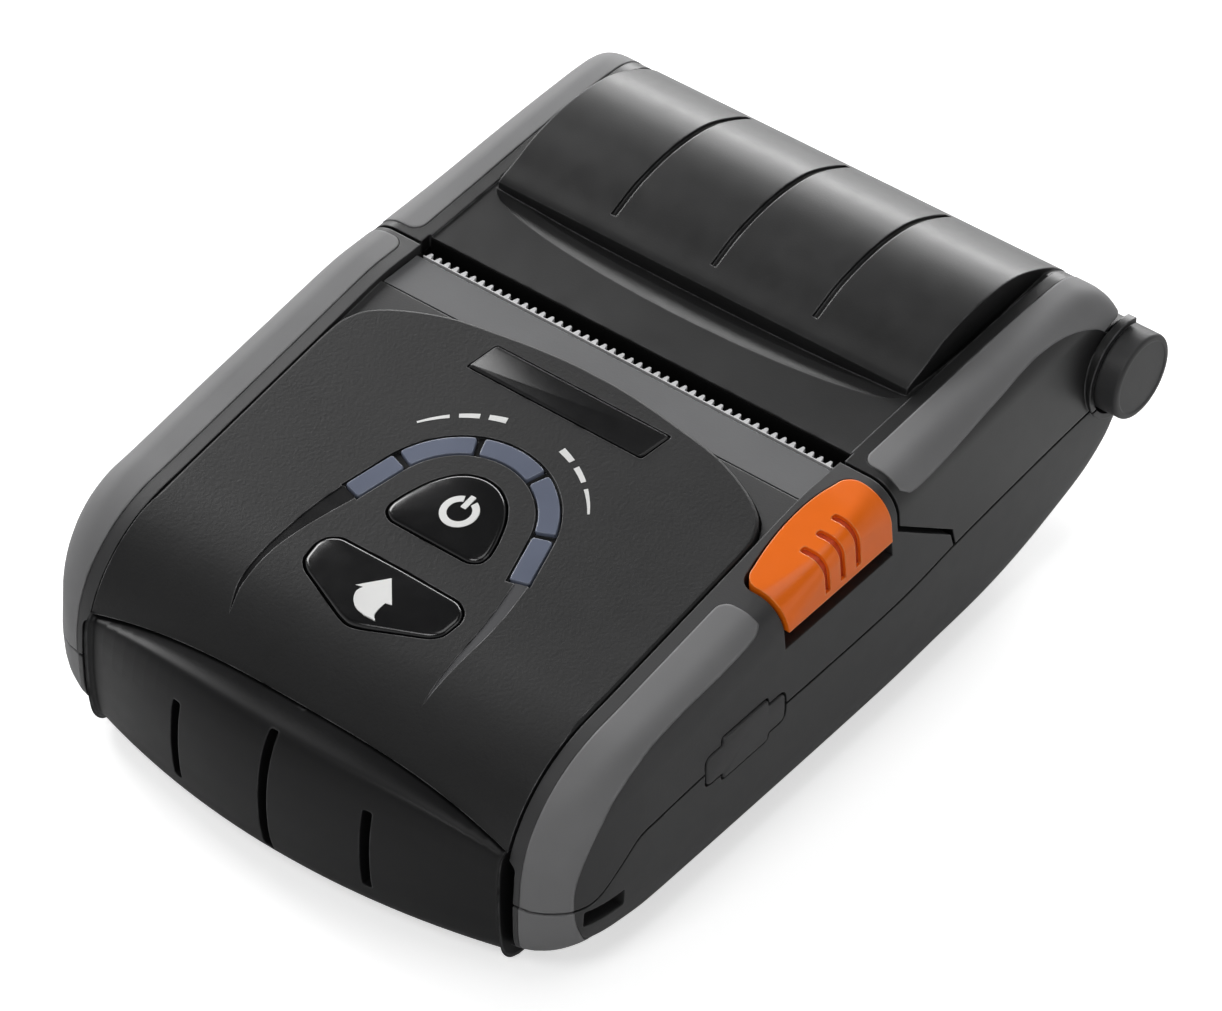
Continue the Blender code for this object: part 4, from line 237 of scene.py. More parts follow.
def arc(centre, radius, first, last, steps):
    angles = [math.radians(first + (last - first) * step / steps) for step in range(steps + 1)]
    return [(centre[0] + radius * math.cos(angle), centre[1] + radius * math.sin(angle)) for angle in angles]


def halfSection(y, roof, floor, side, top, bottom, radius):
    half = halfAt(y) - side
    tall = roof - floor
    shoulder = min(max(radius - top, radius / 8), body["cornerShare"] * tall)
    belly = min(max(body["belly"] - bottom, body["belly"] / 8), body["cornerShare"] * tall)
    waist = min(max(partingAt(y), floor + belly), roof - shoulder)
    lowHalf = half - body["lowerLean"] * (waist - floor - belly)
    highHalf = half - body["upperLean"] * (roof - shoulder - waist)
    points = arc((lowHalf - belly, floor + belly), belly, -90, 0, body["arcSteps"])
    points.append((half, waist))
    return points + arc((highHalf - shoulder, roof - shoulder), shoulder, 0, 90, body["arcSteps"])


def stations(low, high, spacing=0.5):
    merged = [low]
    for y in sorted(y for y, _ in railLine + planLine + bottomLine):
        if merged[-1] + spacing < y < high - spacing:
            merged.append(y)
    return merged + [high]


# solids

def loft(name, rings):   # a closed skin over a row of equal rings
    count = len(rings[0])
    faces = [tuple(range(count)), tuple(range((len(rings) - 1) * count, len(rings) * count))]
    for row in range(len(rings) - 1):
        for i in range(count):
            j = (i + 1) % count
            faces.append((row * count + i, row * count + j, (row + 1) * count + j, (row + 1) * count + i))
    mesh = bpy.data.meshes.new(name)
    mesh.from_pydata([Vector(point) * mm for ring in rings for point in ring], [], faces)
    return solid(name, mesh)


def solid(name, mesh, angle=32):
    form = bmesh.new()
    form.from_mesh(mesh)
    bmesh.ops.recalc_face_normals(form, faces=form.faces)
    form.to_mesh(mesh)
    form.free()
    mesh.shade_smooth()
    mesh.set_sharp_from_angle(angle=math.radians(angle))
    piece = bpy.data.objects.new(name, mesh)
    bpy.context.scene.collection.objects.link(piece)
    return piece


def prism(axis, outline, low, high, name="tool"):
    rings = []
    for place in (low, high):
        rings.append([(a, b, place) if axis == 2 else (a, place, b) if axis == 1 else (place, a, b) for a, b in outline])
    return loft(name, rings)


def box(low, high, name="tool"):
    return prism(2, [(low[0], low[1]), (high[0], low[1]), (high[0], high[1]), (low[0], high[1])], low[2], high[2], name)


def circle(centre, radius, sides=48):
    return arc(centre, radius, 0, 360 - 360 / sides, sides - 1)


def rod(axis, centre, radius, low, high, name="tool", sides=48):
    return prism(axis, circle(centre, radius, sides), min(low, high), max(low, high), name)


def bodyForm(name, low=bodyFront, high=bodyRear, side=0.0, top=0.0, bottom=0.0, roundAt=None):
    roofRead = reader(offsetLine(railLine, top))
    floorRead = reader(offsetLine(bottomLine, -bottom))
    rings = []
    for y in stations(low, high):
        right = halfSection(y, roofRead(y), floorRead(y), side, top, bottom, roundAt(y) if roundAt else body["shoulder"])
        rings.append([(x, y, z) for x, z in right] + [(-x, y, z) for x, z in reversed(right)])
    return loft(name, rings)


def swollen(name, outset, roundAt=None):
    return bodyForm(name, side=-outset, top=-outset, bottom=-outset, roundAt=roundAt)


def combine(piece, tools, operation):
    for tool in tools:
        tool.hide_render = True
        step = piece.modifiers.new("shape", "BOOLEAN")
        step.operation, step.solver, step.object = operation, "MANIFOLD", tool
    return piece


def cut(piece, *tools):
    return combine(piece, tools, "DIFFERENCE")


def fuse(piece, *tools):
    return combine(piece, tools, "UNION")


def keep(piece, *tools):
    return combine(piece, tools, "INTERSECT")


def sources(piece):
    found = [piece]
    for step in piece.modifiers:
        found += sources(step.object)
    return found


def onPanel(piece):   # drawn in the panel's own plane, then laid on it
    for part in sources(piece):
        part.data.transform(panelPlane)
    return piece


def finished(piece, bodyName, finish, replaced=()):   # works out the shape, takes smooth shading from its tools, and dresses it
    tools = sources(piece)
    skins = []
    for tool in tools:
        mesh = tool.data
        corners = [mesh.vertices[loop.vertex_index].co.copy() for loop in mesh.loops]
        normals = [corner.vector.copy() for corner in mesh.corner_normals]
        spans = [(face.loop_start, face.loop_total) for face in mesh.polygons]
        tree = BVHTree.FromPolygons([v.co.copy() for v in mesh.vertices], [list(f.vertices) for f in mesh.polygons])
        skins.append((tree, corners, normals, spans))
    bpy.context.view_layer.update()
    shaped = bpy.data.meshes.new_from_object(piece.evaluated_get(bpy.context.evaluated_depsgraph_get()))
    if not shaped.polygons:
        raise RuntimeError(piece.name + " came out empty")
    shading = [None] * len(shaped.loops)
    for face in shaped.polygons:
        match = None
        for tree, corners, normals, spans in skins:
            spot, normal, index, distance = tree.find_nearest(face.center, 2e-6)
            if spot is not None and abs(normal.dot(face.normal)) > 0.99:
                match = (corners, normals, spans[index], 1 if normal.dot(face.normal) > 0 else -1)
                break
        for loopIndex in face.loop_indices:
            if not match:
                shading[loopIndex] = face.normal
                continue
            corners, normals, (start, total), sign = match
            weights = poly_3d_calc(corners[start:start + total], shaped.vertices[shaped.loops[loopIndex].vertex_index].co)
            mixed = Vector()
            for corner in range(total):
                mixed += normals[start + corner] * weights[corner]
            shading[loopIndex] = mixed.normalized() * sign if mixed.length > 0.1 else face.normal
    shaped.shade_smooth()
    shaped.normals_split_custom_set(shading)
    shaped.materials.clear()
    shaped.materials.append(finishes[finish])
    result = bpy.data.objects.new(piece.name, shaped)
    name = piece.name
    for tool in set(tools):
        bpy.data.objects.remove(tool)
    result.name = name
    bpy.context.scene.collection.objects.link(result)
    dress(result, bodyName, replaced)
    return result


def dress(piece, bodyName, replaced=()):
    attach(piece, bodyName)
    if replaced:
        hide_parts(*replaced)


# side view regions of the case's three parts

def above(line):
    return [(farFront, farAbove), (farFront, line[0][1])] + line + [(farRear, line[-1][1]), (farRear, farAbove)]


seamFoot = (body["lidSeam"] + body["footBack"], partingAt(body["lidSeam"] + body["footBack"]) + body["footRise"])
seamToe = (seamFoot[0] + body["toeBack"], partingAt(seamFoot[0] + body["toeBack"]))
seamElbow = (body["lidSeam"], roofAt(body["lidSeam"]) - body["elbowDrop"])
partingBefore = [(y, z) for y, z in partingLine if farFront < y < seamToe[0] - body["wall"]]
partingAfter = [(y, z) for y, z in partingLine if seamToe[0] + body["wall"] < y < farRear]


def lowerRegion():
    half = body["seamGap"] / 2
    top = [(y, z - half) for y, z in partingBefore + [seamToe] + partingAfter]
    return [(farFront, farBelow), (farFront, top[0][1])] + top + [(farRear, top[-1][1]), (farRear, farBelow)]


def lidEdge(sign):   # the seam between the upper case and the lid, moved to one side of its gap
    back = sign * body["lidGap"] / 2
    line = [(seamToe[0] + back, seamToe[1] + body["seamGap"] / 2)] + [(y + back, z + back) for y, z in (seamFoot, seamElbow)]
    return line + [(seamElbow[0] + back, farAbove)]


def upperRegion():
    front = [(y, z + body["seamGap"] / 2) for y, z in partingBefore]
    return [(farFront, farAbove), (farFront, front[0][1])] + front + lidEdge(-1)


def lidRegion():
    rear = [(y, z + body["seamGap"] / 2) for y, z in partingAfter]
    return list(reversed(lidEdge(1))) + rear + [(farRear, rear[-1][1]), (farRear, farAbove)]


def seamArch(rise):
    middle, end = nose["seamMiddle"] * body["height"], nose["seamEnd"] * body["height"]
    shares = [2 * step / nose["steps"] - 1 for step in range(nose["steps"] + 1)]
    return [(share * panel["trough"], middle + (end - middle) * abs(share) ** nose["seamPower"] + rise) for share in shares]


def noseRoom():
    arch = seamArch(nose["gap"])
    return prism(1, [(-panel["trough"], farBelow)] + arch + [(panel["trough"], farBelow)], farFront, nose["pocketBack"])


def archOutline(gap):
    half = throughPoints([(share * panel["half"], panel["topY"] - down * panel["archDepth"]) for share, down in panel["arch"]], 0.6)
    half = [(x + gap * (x > 0.01), y + gap) for x, y in half]
    right = [(half[0][0], farFront)] + half
    return right + [(-x, y) for x, y in reversed(right[:-1])]


def panelRing(inset, height):   # the panel's plan at a height over its plane, in that plane's own coordinates
    lean = height * math.tan(tilt)
    return [(x, (y - panel["originY"]) / math.cos(tilt) + lean, height) for x, y in archOutline(-inset)]


def panelLine(depth):
    front = [point for point in railLine if point[0] < slopeFirst[0] - 1.0]
    reach = panel["topY"] + 2 * body["far"]
    count = 24
    for step in range(count + 1):
        y = slopeFirst[0] + (reach - slopeFirst[0]) * step / count
        front.append((y, slopeFirst[1] + slopeRate * (y - slopeFirst[0])))
    return offsetLine(front, depth - panel["rise"])


def rounded(points, radius, steps=5, limit=0.45):
    result = []
    for index, corner in enumerate(points):
        here = Vector(corner)
        before = Vector(points[index - 1]) - here
        after = Vector(points[(index + 1) % len(points)]) - here
        reach = min(radius, before.length * limit, after.length * limit)
        start = here + before.normalized() * reach
        end = here + after.normalized() * reach
        for step in range(steps + 1):
            t = step / steps
            spot = start * (1 - t) ** 2 + here * 2 * t * (1 - t) + end * t ** 2
            result.append((spot.x, spot.y))
    return result


def grown(points, distance):   # moves a closed anticlockwise outline outwards
    moved = []
    for index, corner in enumerate(points):
        here = Vector(corner)
        first = (here - Vector(points[index - 1])).normalized()
        second = (Vector(points[(index + 1) % len(points)]) - here).normalized()
        normal = Vector((first.y + second.y, -first.x - second.x))
        normal = normal / max(normal.length_squared / 2, 1e-3)
        moved.append((here.x + normal.x * distance, here.y + normal.y * distance))
    return moved


def mirrored(half):
    return half + [(-x, y) for x, y in reversed(half[1:-1])]


def leverOutline(gap):   # plan of the lever, bowed towards the panel and open past the case's side
    cornerX = lever["inner"] + lever["bow"] - gap
    front, rear, corner = lever["front"] - gap, lever["rear"] + gap, lever["corner"]
    points = [(farOut, front)] + arc((cornerX + corner, front + corner), corner, 270, 180, 10)
    for step in range(1, 16):
        share = step / 16
        bow = lever["bow"] * (1 - (2 * share - 1) ** 2)
        points.append((cornerX - bow, front + corner + share * (rear - front - 2 * corner)))
    return points + arc((cornerX + corner, rear - corner), corner, 180, 90, 10) + [(farOut, rear)]


def doorOutline(gap):
    long, short, low, tall = door["long"] / 2, door["short"] / 2, door["low"] / 2, door["tall"] / 2
    points = [(long, -low), (long, low), (short, low), (short, tall), (-short, tall), (-short, low),
              (-long, low), (-long, -low), (-short, -low), (-short, -tall), (short, -tall), (short, -low)]
    return [(door["y"] + a, door["z"] + b) for a, b in grown(rounded(points, tall - low, 4), gap)]


def gripRegion(name, grow):   # side view of a strip: above its lower edge, or all below it for a foot
    shares = grips[name]
    line = offsetLine(throughPoints(scaled(shares), 0.7), grow)
    if name == "foot":
        return [(farFront, line[0][1])] + line + [(line[-1][0], farBelow), (farFront, farBelow)]
    first, last = line[0], line[-1]
    end = farFront if last[0] < first[0] else farRear
    return line + [(end, last[1]), (end, farAbove), (first[0], farAbove)]


def gripPlan(name, sign, inner, margin):   # plan of a strip, its free inner corner rounded off
    if name == "foot":
        outline = [(inner, farFront), (inner, farRear), (farOut, farRear), (farOut, farFront)]
    else:
        way, far = (1, farRear) if name == "lid" else (-1, farFront)
        end, radius = grips[name][0][0] * body["length"] - way * margin, grips["corner"]
        turn = arc((inner + radius, end + way * radius), radius, 180, 180 + 90 * way, 8)
        outline = turn + [(farOut, end), (farOut, far), (inner, far)]
    return [(sign * x, y) for x, y in outline]


def skin(piece, name, sign, inner, depth, outset, margin=0.0):
    low, high = sorted((sign * inner, sign * farOut))
    core = bodyForm("core", bodyFront + depth, bodyRear - depth, depth, depth, depth)
    strip = keep(swollen(piece, outset), prism(0, gripRegion(name, -margin), low, high))
    return cut(keep(strip, prism(2, gripPlan(name, sign, inner, margin), farBelow, farAbove)), core)


def bandPoint(radius, angle):   # a circle whose ends run on as straight legs
    turn = math.radians(min(abs(angle), panel["bend"]))
    leg = max(abs(angle) - panel["bend"], 0) * panel["legPitch"]
    x = radius * math.sin(turn) + leg * math.cos(turn)
    return math.copysign(x, angle), panel["bandCentre"] + radius * math.cos(turn) - leg * math.sin(turn)


def bandOutline(first, last, gap):
    steps = max(int((last - first) / 4), 3)
    slack = math.degrees(gap / panel["bandOuter"])
    angles = [first - slack + (last - first + 2 * slack) * step / steps for step in range(steps + 1)]
    outer = [bandPoint(panel["bandOuter"] + gap, angle) for angle in angles]
    inner = [bandPoint(panel["bandInner"] - gap, angle) for angle in angles]
    return inner + list(reversed(outer))


def tailOutline(sign, side):
    return [(sign * x, y) for line in panel["tails"][side] for x, y in throughPoints(line, 0.8)]


def tailForm(side, top, bottom, name="tailForm"):   # follows the panel round its front roll
    sign = -1 if side == "Left" else 1
    form = onPanel(prism(2, tailOutline(sign, side), -3 * panel["thick"], panel["thick"], name))
    return keep(form, prism(0, panelLine(top) + list(reversed(panelLine(bottom))), -panel["half"], panel["half"]))


def badgeOutline(gap):
    half, tall, lean, middle = panel["badgeWidth"] / 2, panel["badgeHeight"] / 2, panel["badgeLean"] / 2, panel["badgeCentre"]
    points = [(-half - lean, middle - tall), (half - lean, middle - tall), (half + lean, middle + tall), (-half + lean, middle + tall)]
    return rounded(grown(points, gap), 0.5)


def buttonOutline(name, gap):
    values = buttons[name]
    half = [(a * values["width"] / 2, values["bottom"] + b * values["height"]) for a, b in values["half"]]
    return grown(rounded(mirrored(half), 1.2, 4), gap)


def collar(case):   # a lip round the proud hinge cap
    outer = rod(0, (hinge["y"], hinge["z"]), hinge["capRadius"] + hinge["collarGap"] + hinge["collarWidth"],
                hinge["side"] - 0.6, hinge["side"] + hinge["collarProud"], sides=hinge["sides"])
    fuse(case, cut(outer, box((-farOut, bodyRear - 0.6, farBelow), (farOut, farRear, farAbove))))


def seat(case, name, sign):
    inner = grips["footInner"] if name == "foot" else grips["inner"]
    margin = grips["edgeGap"]
    cut(case, skin("seat", name, sign, inner - margin, grips["depth"] + grips["seatGap"], 0.3, margin))


def capBore(case):
    radius = hinge["capRadius"] + hinge["collarGap"]
    for sign in (-1, 1):
        cut(case, rod(0, (hinge["y"], hinge["z"]), radius, sign * hinge["towerFace"], sign * farOut, sides=hinge["sides"]))


def cutCornerSlots(case):   # dark upright slots between the nose and the corner strips
    for sign in (-1, 1):
        outline = [(cornerSlot["near"], cornerSlot["low"]), (cornerSlot["far"], cornerSlot["low"] + 0.5),
                   (cornerSlot["far"], cornerSlot["high"] - 1.2), (cornerSlot["near"], cornerSlot["high"])]
        cut(case, prism(1, [(sign * x, z) for x, z in rounded(outline, 0.5)], farFront, cornerSlot["back"]))


def buildLowerCase():
    case = bodyForm("lowerShell")
    collar(case)
    keep(case, prism(0, lowerRegion(), -farOut, farOut))
    wall = body["wall"]
    bayRear = battery["rear"] + battery["gap"]
    roomFront = bayRear + battery["wall"]
    bayHalf = battery["half"] + battery["gap"]
    cut(case, bodyForm("room", roomFront, bodyRear - wall, wall, wall, wall))
    for sign in (-1, 1):
        low, high = sorted((sign * hinge["towerLow"], sign * (hinge["side"] - 0.9)))
        tower = rod(0, (hinge["y"], hinge["z"]), hinge["capRadius"], sign * hinge["towerLow"], sign * (hinge["towerFace"] + 0.3))
        foot = [(y, z) for y, z in offsetLine(bottomLine, -wall / 2) if y > hinge["y"] - hinge["capRadius"] and z < 19.8]
        block = keep(bodyForm("foot", side=0.5, top=0.5, bottom=0.5), prism(0, foot + [(foot[-1][0], 19.8), (foot[0][0], 19.8)], low, high))
        fuse(case, block, tower)
    cut(case, noseRoom())
    cut(case, box((-bayHalf, farFront, battery["low"] - battery["gap"]), (bayHalf, bayRear, battery["high"] + 4)))
    cut(case, box((-battery["contactHalf"], bayRear - 2, battery["contactLow"]), (battery["contactHalf"], roomFront + 2, battery["contactHigh"])))
    for sign in (-1, 1):
        for x, y in screws["places"]:
            cut(case, rod(2, (sign * x, y), screws["radius"], farBelow, screws["recess"]))
        slot = [(strap["y"] + a * strap["long"] / 2, strap["z"] + b * strap["tall"] / 2) for a, b in ((-1, -1), (1, -1), (1, 1), (-1, 1))]
        low, high = sorted((sign * (halfAt(strap["y"]) - 2 * wall), sign * farOut))
        cut(case, prism(0, rounded(slot, 0.3, 3), low, high))
        seat(case, "foot", sign)
    capBore(case)
    cutCornerSlots(case)
    cut(case, rod(0, (hinge["y"], hinge["z"]), hinge["knuckle"] + 0.5, -hinge["knuckleHalf"] - 0.15, hinge["knuckleHalf"] + 0.15))
    cut(case, prism(0, doorOutline(door["gap"]), body["halfWidth"] - door["thick"] - door["gap"], farOut))
    cut(case, box((30, door["y"] - door["socketWidth"] / 2 - 0.3, door["z"] - door["socketHeight"] / 2 - 0.3),
                  (farOut, door["y"] + door["socketWidth"] / 2 + 0.3, door["z"] + 4)))
    slack, length, width = battery["slack"], battery["latchLength"] / 2, battery["latchWidth"] / 2
    latchY, bolt = battery["latchY"], battery["bolt"] / 2
    cut(case, box((-width - slack, latchY - length - slack, farBelow),
                  (width + battery["travel"] + slack, latchY + length + slack, battery["latchSink"] + battery["latchThick"] + slack)))
    cut(case, box((-bolt - slack, latchY - bolt - slack, farBelow), (bolt + battery["travel"] + slack, latchY + bolt + slack, 3.0)))
    finished(case, "base", "satinShell", ["lower_case"])


def buildUpperCase():
    case = bodyForm("upperShell")
    keep(case, prism(0, upperRegion(), -farOut, farOut))
    wall, gap = body["wall"], lever["gap"]
    leverLow = roofAt((lever["front"] + lever["rear"]) / 2) - lever["drop"]
    pocketLow = leverLow - lever["travel"] - lever["reserve"]
    housing = box((lever["inner"] - gap - lever["wall"], lever["front"] - gap - lever["wall"], pocketLow - lever["wall"]),
                  (farOut, lever["rear"] + gap + lever["wall"], farAbove))
    cut(case, cut(bodyForm("room", bodyFront + deckUnder, bodyRear - wall, wall, deckUnder, wall), housing))
    cut(case, noseRoom())
    cut(case, prism(0, above(offsetLine(railLine, panel["troughDrop"])), -panel["trough"], panel["trough"]))
    cutCornerSlots(case)
    pocket = prism(0, above(panelLine(panel["thick"] + 0.3)), -body["halfWidth"], body["halfWidth"])
    cut(case, keep(pocket, prism(2, archOutline(0.2), farBelow, farAbove)))
    cut(case, box((-panel["trough"], plate["front"] - plate["gap"], plateTop - plate["thick"] - 0.3), (panel["trough"], farRear, farAbove)))
    cut(case, box((-plate["headHalf"] - 0.6, plate["headFront"], 13.0), (plate["headHalf"] + 0.6, farRear, farAbove)))
    cut(case, prism(2, leverOutline(gap), pocketLow, farAbove))
    cut(case, box((lever["pusherX"] - gap, lever["pusherY"] - 1.6, 13.0), (lever["pusherX"] + 2.0, lever["pusherY"] + 1.6, farAbove)))
    cut(case, prism(0, doorOutline(door["gap"]), body["halfWidth"] - door["thick"] - door["gap"], farOut))
    cut(case, box((30, door["y"] - door["socketWidth"] / 2 - 0.3, farBelow),
                  (farOut, door["y"] + door["socketWidth"] / 2 + 0.3, door["z"] + door["socketHeight"] / 2 + 0.3)))
    seat(case, "left", -1)
    seat(case, "front", 1)
    for name in ("power", "feed"):
        cut(case, onPanel(prism(2, buttonOutline(name, buttons["gap"]), -2 * deckUnder, 0)))
    cut(case, onPanel(prism(2, bandOutline(-104, 104, 0.75), -2 * deckUnder, 0)))
    finished(case, "base", "satinShell", ["upper_case"])


def buildGrips():
    for side, sign, name in (("Left", -1, "left"), ("Right", 1, "front")):
        rail = skin("railGrip" + side, name, sign, grips["inner"], grips["depth"], grips["proud"])
        finished(keep(rail, prism(0, upperRegion(), -farOut, farOut)), "base", "softGrip", ["rail_grip_" + side.lower()])
        foot = skin("cornerGrip" + side, "foot", sign, grips["footInner"], grips["depth"], grips["proud"])
        finished(keep(foot, prism(0, lowerRegion(), -farOut, farOut)), "base", "softGrip", ["corner_grip_" + side.lower()])
        strip = skin("lidGrip" + side, "lid", sign, grips["inner"], grips["depth"], grips["proud"])
        keep(strip, prism(0, lidRegion(), -farOut, farOut))
        cut(strip, rod(0, (hinge["y"], hinge["z"]), lid["gripRooms"][sign], -farOut, farOut, sides=hinge["sides"]))
        finished(strip, "cover", "softGrip", ["cover_grip_" + side.lower()])


def buildPanel():
    face = prism(0, panelLine(0) + list(reversed(panelLine(panel["thick"]))), -panel["half"], panel["half"], "controlPanel")
    keep(face, onPanel(loft("panelPlan", [panelRing(*step) for step in panel["edge"]])))
    arch = seamArch(nose["gap"] / 2)
    keep(face, prism(1, arch + [(panel["trough"], farAbove), (-panel["trough"], farAbove)], farFront, farRear))
    reach, channel = panel["thick"], panel["channelDepth"]
    cut(face, onPanel(prism(2, bandOutline(-102.5, 102.5, panel["channelEdge"]), -channel, reach)))
    for first, last in panel["windows"]:
        cut(face, onPanel(prism(2, bandOutline(first, last, 0.05), -2 * reach, reach)))
    for name in ("power", "feed"):
        cut(face, onPanel(prism(2, buttonOutline(name, buttons["gap"]), -2 * reach, reach)))
    for side in ("Left", "Right"):
        cut(face, tailForm(side, -1.0, panel["tailDepth"]))
    cut(face, onPanel(prism(2, badgeOutline(0.2), -0.45, reach)))
    finished(face, "base", "grainedPanel", ["front_panel"])
    print("panel face ready")
    bed = prism(2, bandOutline(-102.3, 102.3, panel["channelEdge"] - 0.03), -channel - 0.1, 0.05 - channel, "bandBed")
    for first, last in panel["windows"]:
        cut(bed, prism(2, bandOutline(first, last, 0.03), -reach, reach))
    finished(onPanel(bed), "base", "glossBadge")
    for side, finish in (("Left", "glossBadge"), ("Right", "smokedInlay")):
        finished(tailForm(side, 0.12, panel["tailDepth"] + 0.1, "tailInlay" + side), "base", finish)
    badge = badgeOutline(0)
    rings = [[(x, y, z) for x, y in grown(badge, -inset)] for inset, z in ((0, -0.5), (0, 0.02), (0.12, 0.16), (0.3, 0.2))]
    finished(onPanel(loft("blankNamePlate", rings)), "base", "glossBadge", ["name_plate"])
    guideTop = -panel["thick"] - 0.3
    guide = prism(2, bandOutline(-104, 104, 0.6), guideTop - 0.9, guideTop, "lightGuide")
    for first, last in panel["windows"]:
        low, high = (rounded(bandOutline(first, last, gap), 0.35, 3) for gap in (-0.06, -0.14))
        fuse(guide, loft("window", [[(x, y, z) for x, y in ring] for ring, z in ((low, guideTop - 0.45), (low, -0.10), (high, 0.05))]))
    finished(onPanel(guide), "base", "paleWindow", ["light_guide"])
    for start, end, width in panel["dashes"]:
        for sign in (-1, 1):
            radius = panel["dashRadius"]
            thin = width * (0.55 if width < 0.6 else 0.85)
            steps = 8
            edge, back = [], []
            for step in range(steps + 1):
                share = step / steps
                angle = math.radians(90 - sign * (start + (end - start) * share))
                half = (width + (thin - width) * share) / 2
                for line, reachOut in ((edge, radius + half), (back, radius - half)):
                    line.append((reachOut * math.cos(angle), panel["bandCentre"] + reachOut * math.sin(angle)))
            mark = prism(2, edge + list(reversed(back)), -0.05, 0.02, "gaugeDash" + ("Left" if sign < 0 else "Right") + str(start))
            finished(onPanel(mark), "base", "whitePrint")


def crowned(outline, level, crown, edge, depth):   # rings of a button's body, from its foot to its domed top
    middle = Vector((sum(x for x, _ in outline) / len(outline), sum(y for _, y in outline) / len(outline)))
    rings = [[(x, y, -depth) for x, y in outline], [(x, y, level - crown - edge) for x, y in outline]]
    for step in range(1, 6):
        angle = math.pi / 2 * step / 5
        ring = grown(outline, -edge * (1 - math.cos(angle)))
        rings.append([(x, y, level - crown - edge * (1 - math.sin(angle))) for x, y in ring])
    rim = [Vector((x, y)) for x, y in grown(outline, -edge)]
    for share in (0.86, 0.7, 0.52, 0.34, 0.16):
        rings.append([(*(middle + (dot - middle) * share), level - crown * share ** 2) for dot in rim])
    return rings


def buildButtons():
    level, crown = buttons["proud"], buttons["crown"]
    for name, bodyName in (("power", "power_key"), ("feed", "feed_key")):
        key = loft(name + "Button", crowned(buttonOutline(name, 0), level, crown, buttons["edge"], buttons["depth"]))
        finished(onPanel(key), bodyName, "glossKey", [name + "_button"])
    across, up = buttons["ringCentre"]
    low, high = level - 0.3, level + 0.03
    first, last = 90 + buttons["ringGap"], 450 - buttons["ringGap"]
    ring = arc((across, up), buttons["ringOuter"], first, last, 40) + list(reversed(arc((across, up), buttons["ringInner"], first, last, 40)))
    finished(onPanel(prism(2, ring, low, high, "powerRing")), "power_key", "whitePrint")
    half, (foot, head) = buttons["barHalf"], buttons["barEnds"]
    bar = [(across + a * half, up + b) for a, b in ((-1, foot), (1, foot), (1, head), (-1, head))]
    finished(onPanel(prism(2, rounded(bar, 0.12), low, high, "powerBar")), "power_key", "whitePrint")
    points = buttons["arrow"]
    arrow = points[:2] + throughPoints(points[2:6], 0.3) + throughPoints(points[6:11], 0.3) + points[11:]
    finished(onPanel(prism(2, arrow, low, high, "feedArrow")), "feed_key", "whitePrint")


def buildPlateAndTearBar():
    half = panel["trough"] - plate["gap"]
    top, under = plateTop, plateTop - plate["thick"]
    cover = box((-half, plate["front"], under), (half, plate["rear"], top), "headCover")
    cut(cover, prism(2, archOutline(0.4), farBelow, farAbove))
    finished(cover, "base", "greyPlate", ["head_cover"])
    front = plate["tearFront"]
    count = int(2 * plate["tearHalf"] / plate["pitch"])
    pitch = 2 * plate["tearHalf"] / count
    edge = [(-plate["tearHalf"], front), (plate["tearHalf"], front)]
    for tooth in range(count):
        right = plate["tearHalf"] - tooth * pitch
        for share, reach in ((0.0, 0.0), (0.22, 0.0), (0.36, 0.90), (0.44, 1.0), (0.56, 1.0), (0.64, 0.90), (0.78, 0.0)):
            edge.append((right - share * pitch, plate["tip"] - plate["tooth"] * (1 - reach)))
    edge.append((-plate["tearHalf"], plate["tip"] - plate["tooth"]))
    bar = prism(2, edge, top - plate["tearThick"], top, "tearBar")
    fuse(bar, box((-plate["tearHalf"], front, under), (plate["tearHalf"], front + plate["leg"], top - plate["tearThick"] / 2)))
    finished(bar, "base", "paleSteel", ["tear_bar"])


def noseRing(x):
    share = abs(x / nose["half"])
    points = []
    for (middleY, middleZ), (endY, endZ) in zip(scaled(nose["middle"]), scaled(nose["end"])):
        points.append((middleY + (endY - middleY) * share ** 2, middleZ + (endZ - middleZ) * share ** 3))
    return throughPoints(points, 0, 6)


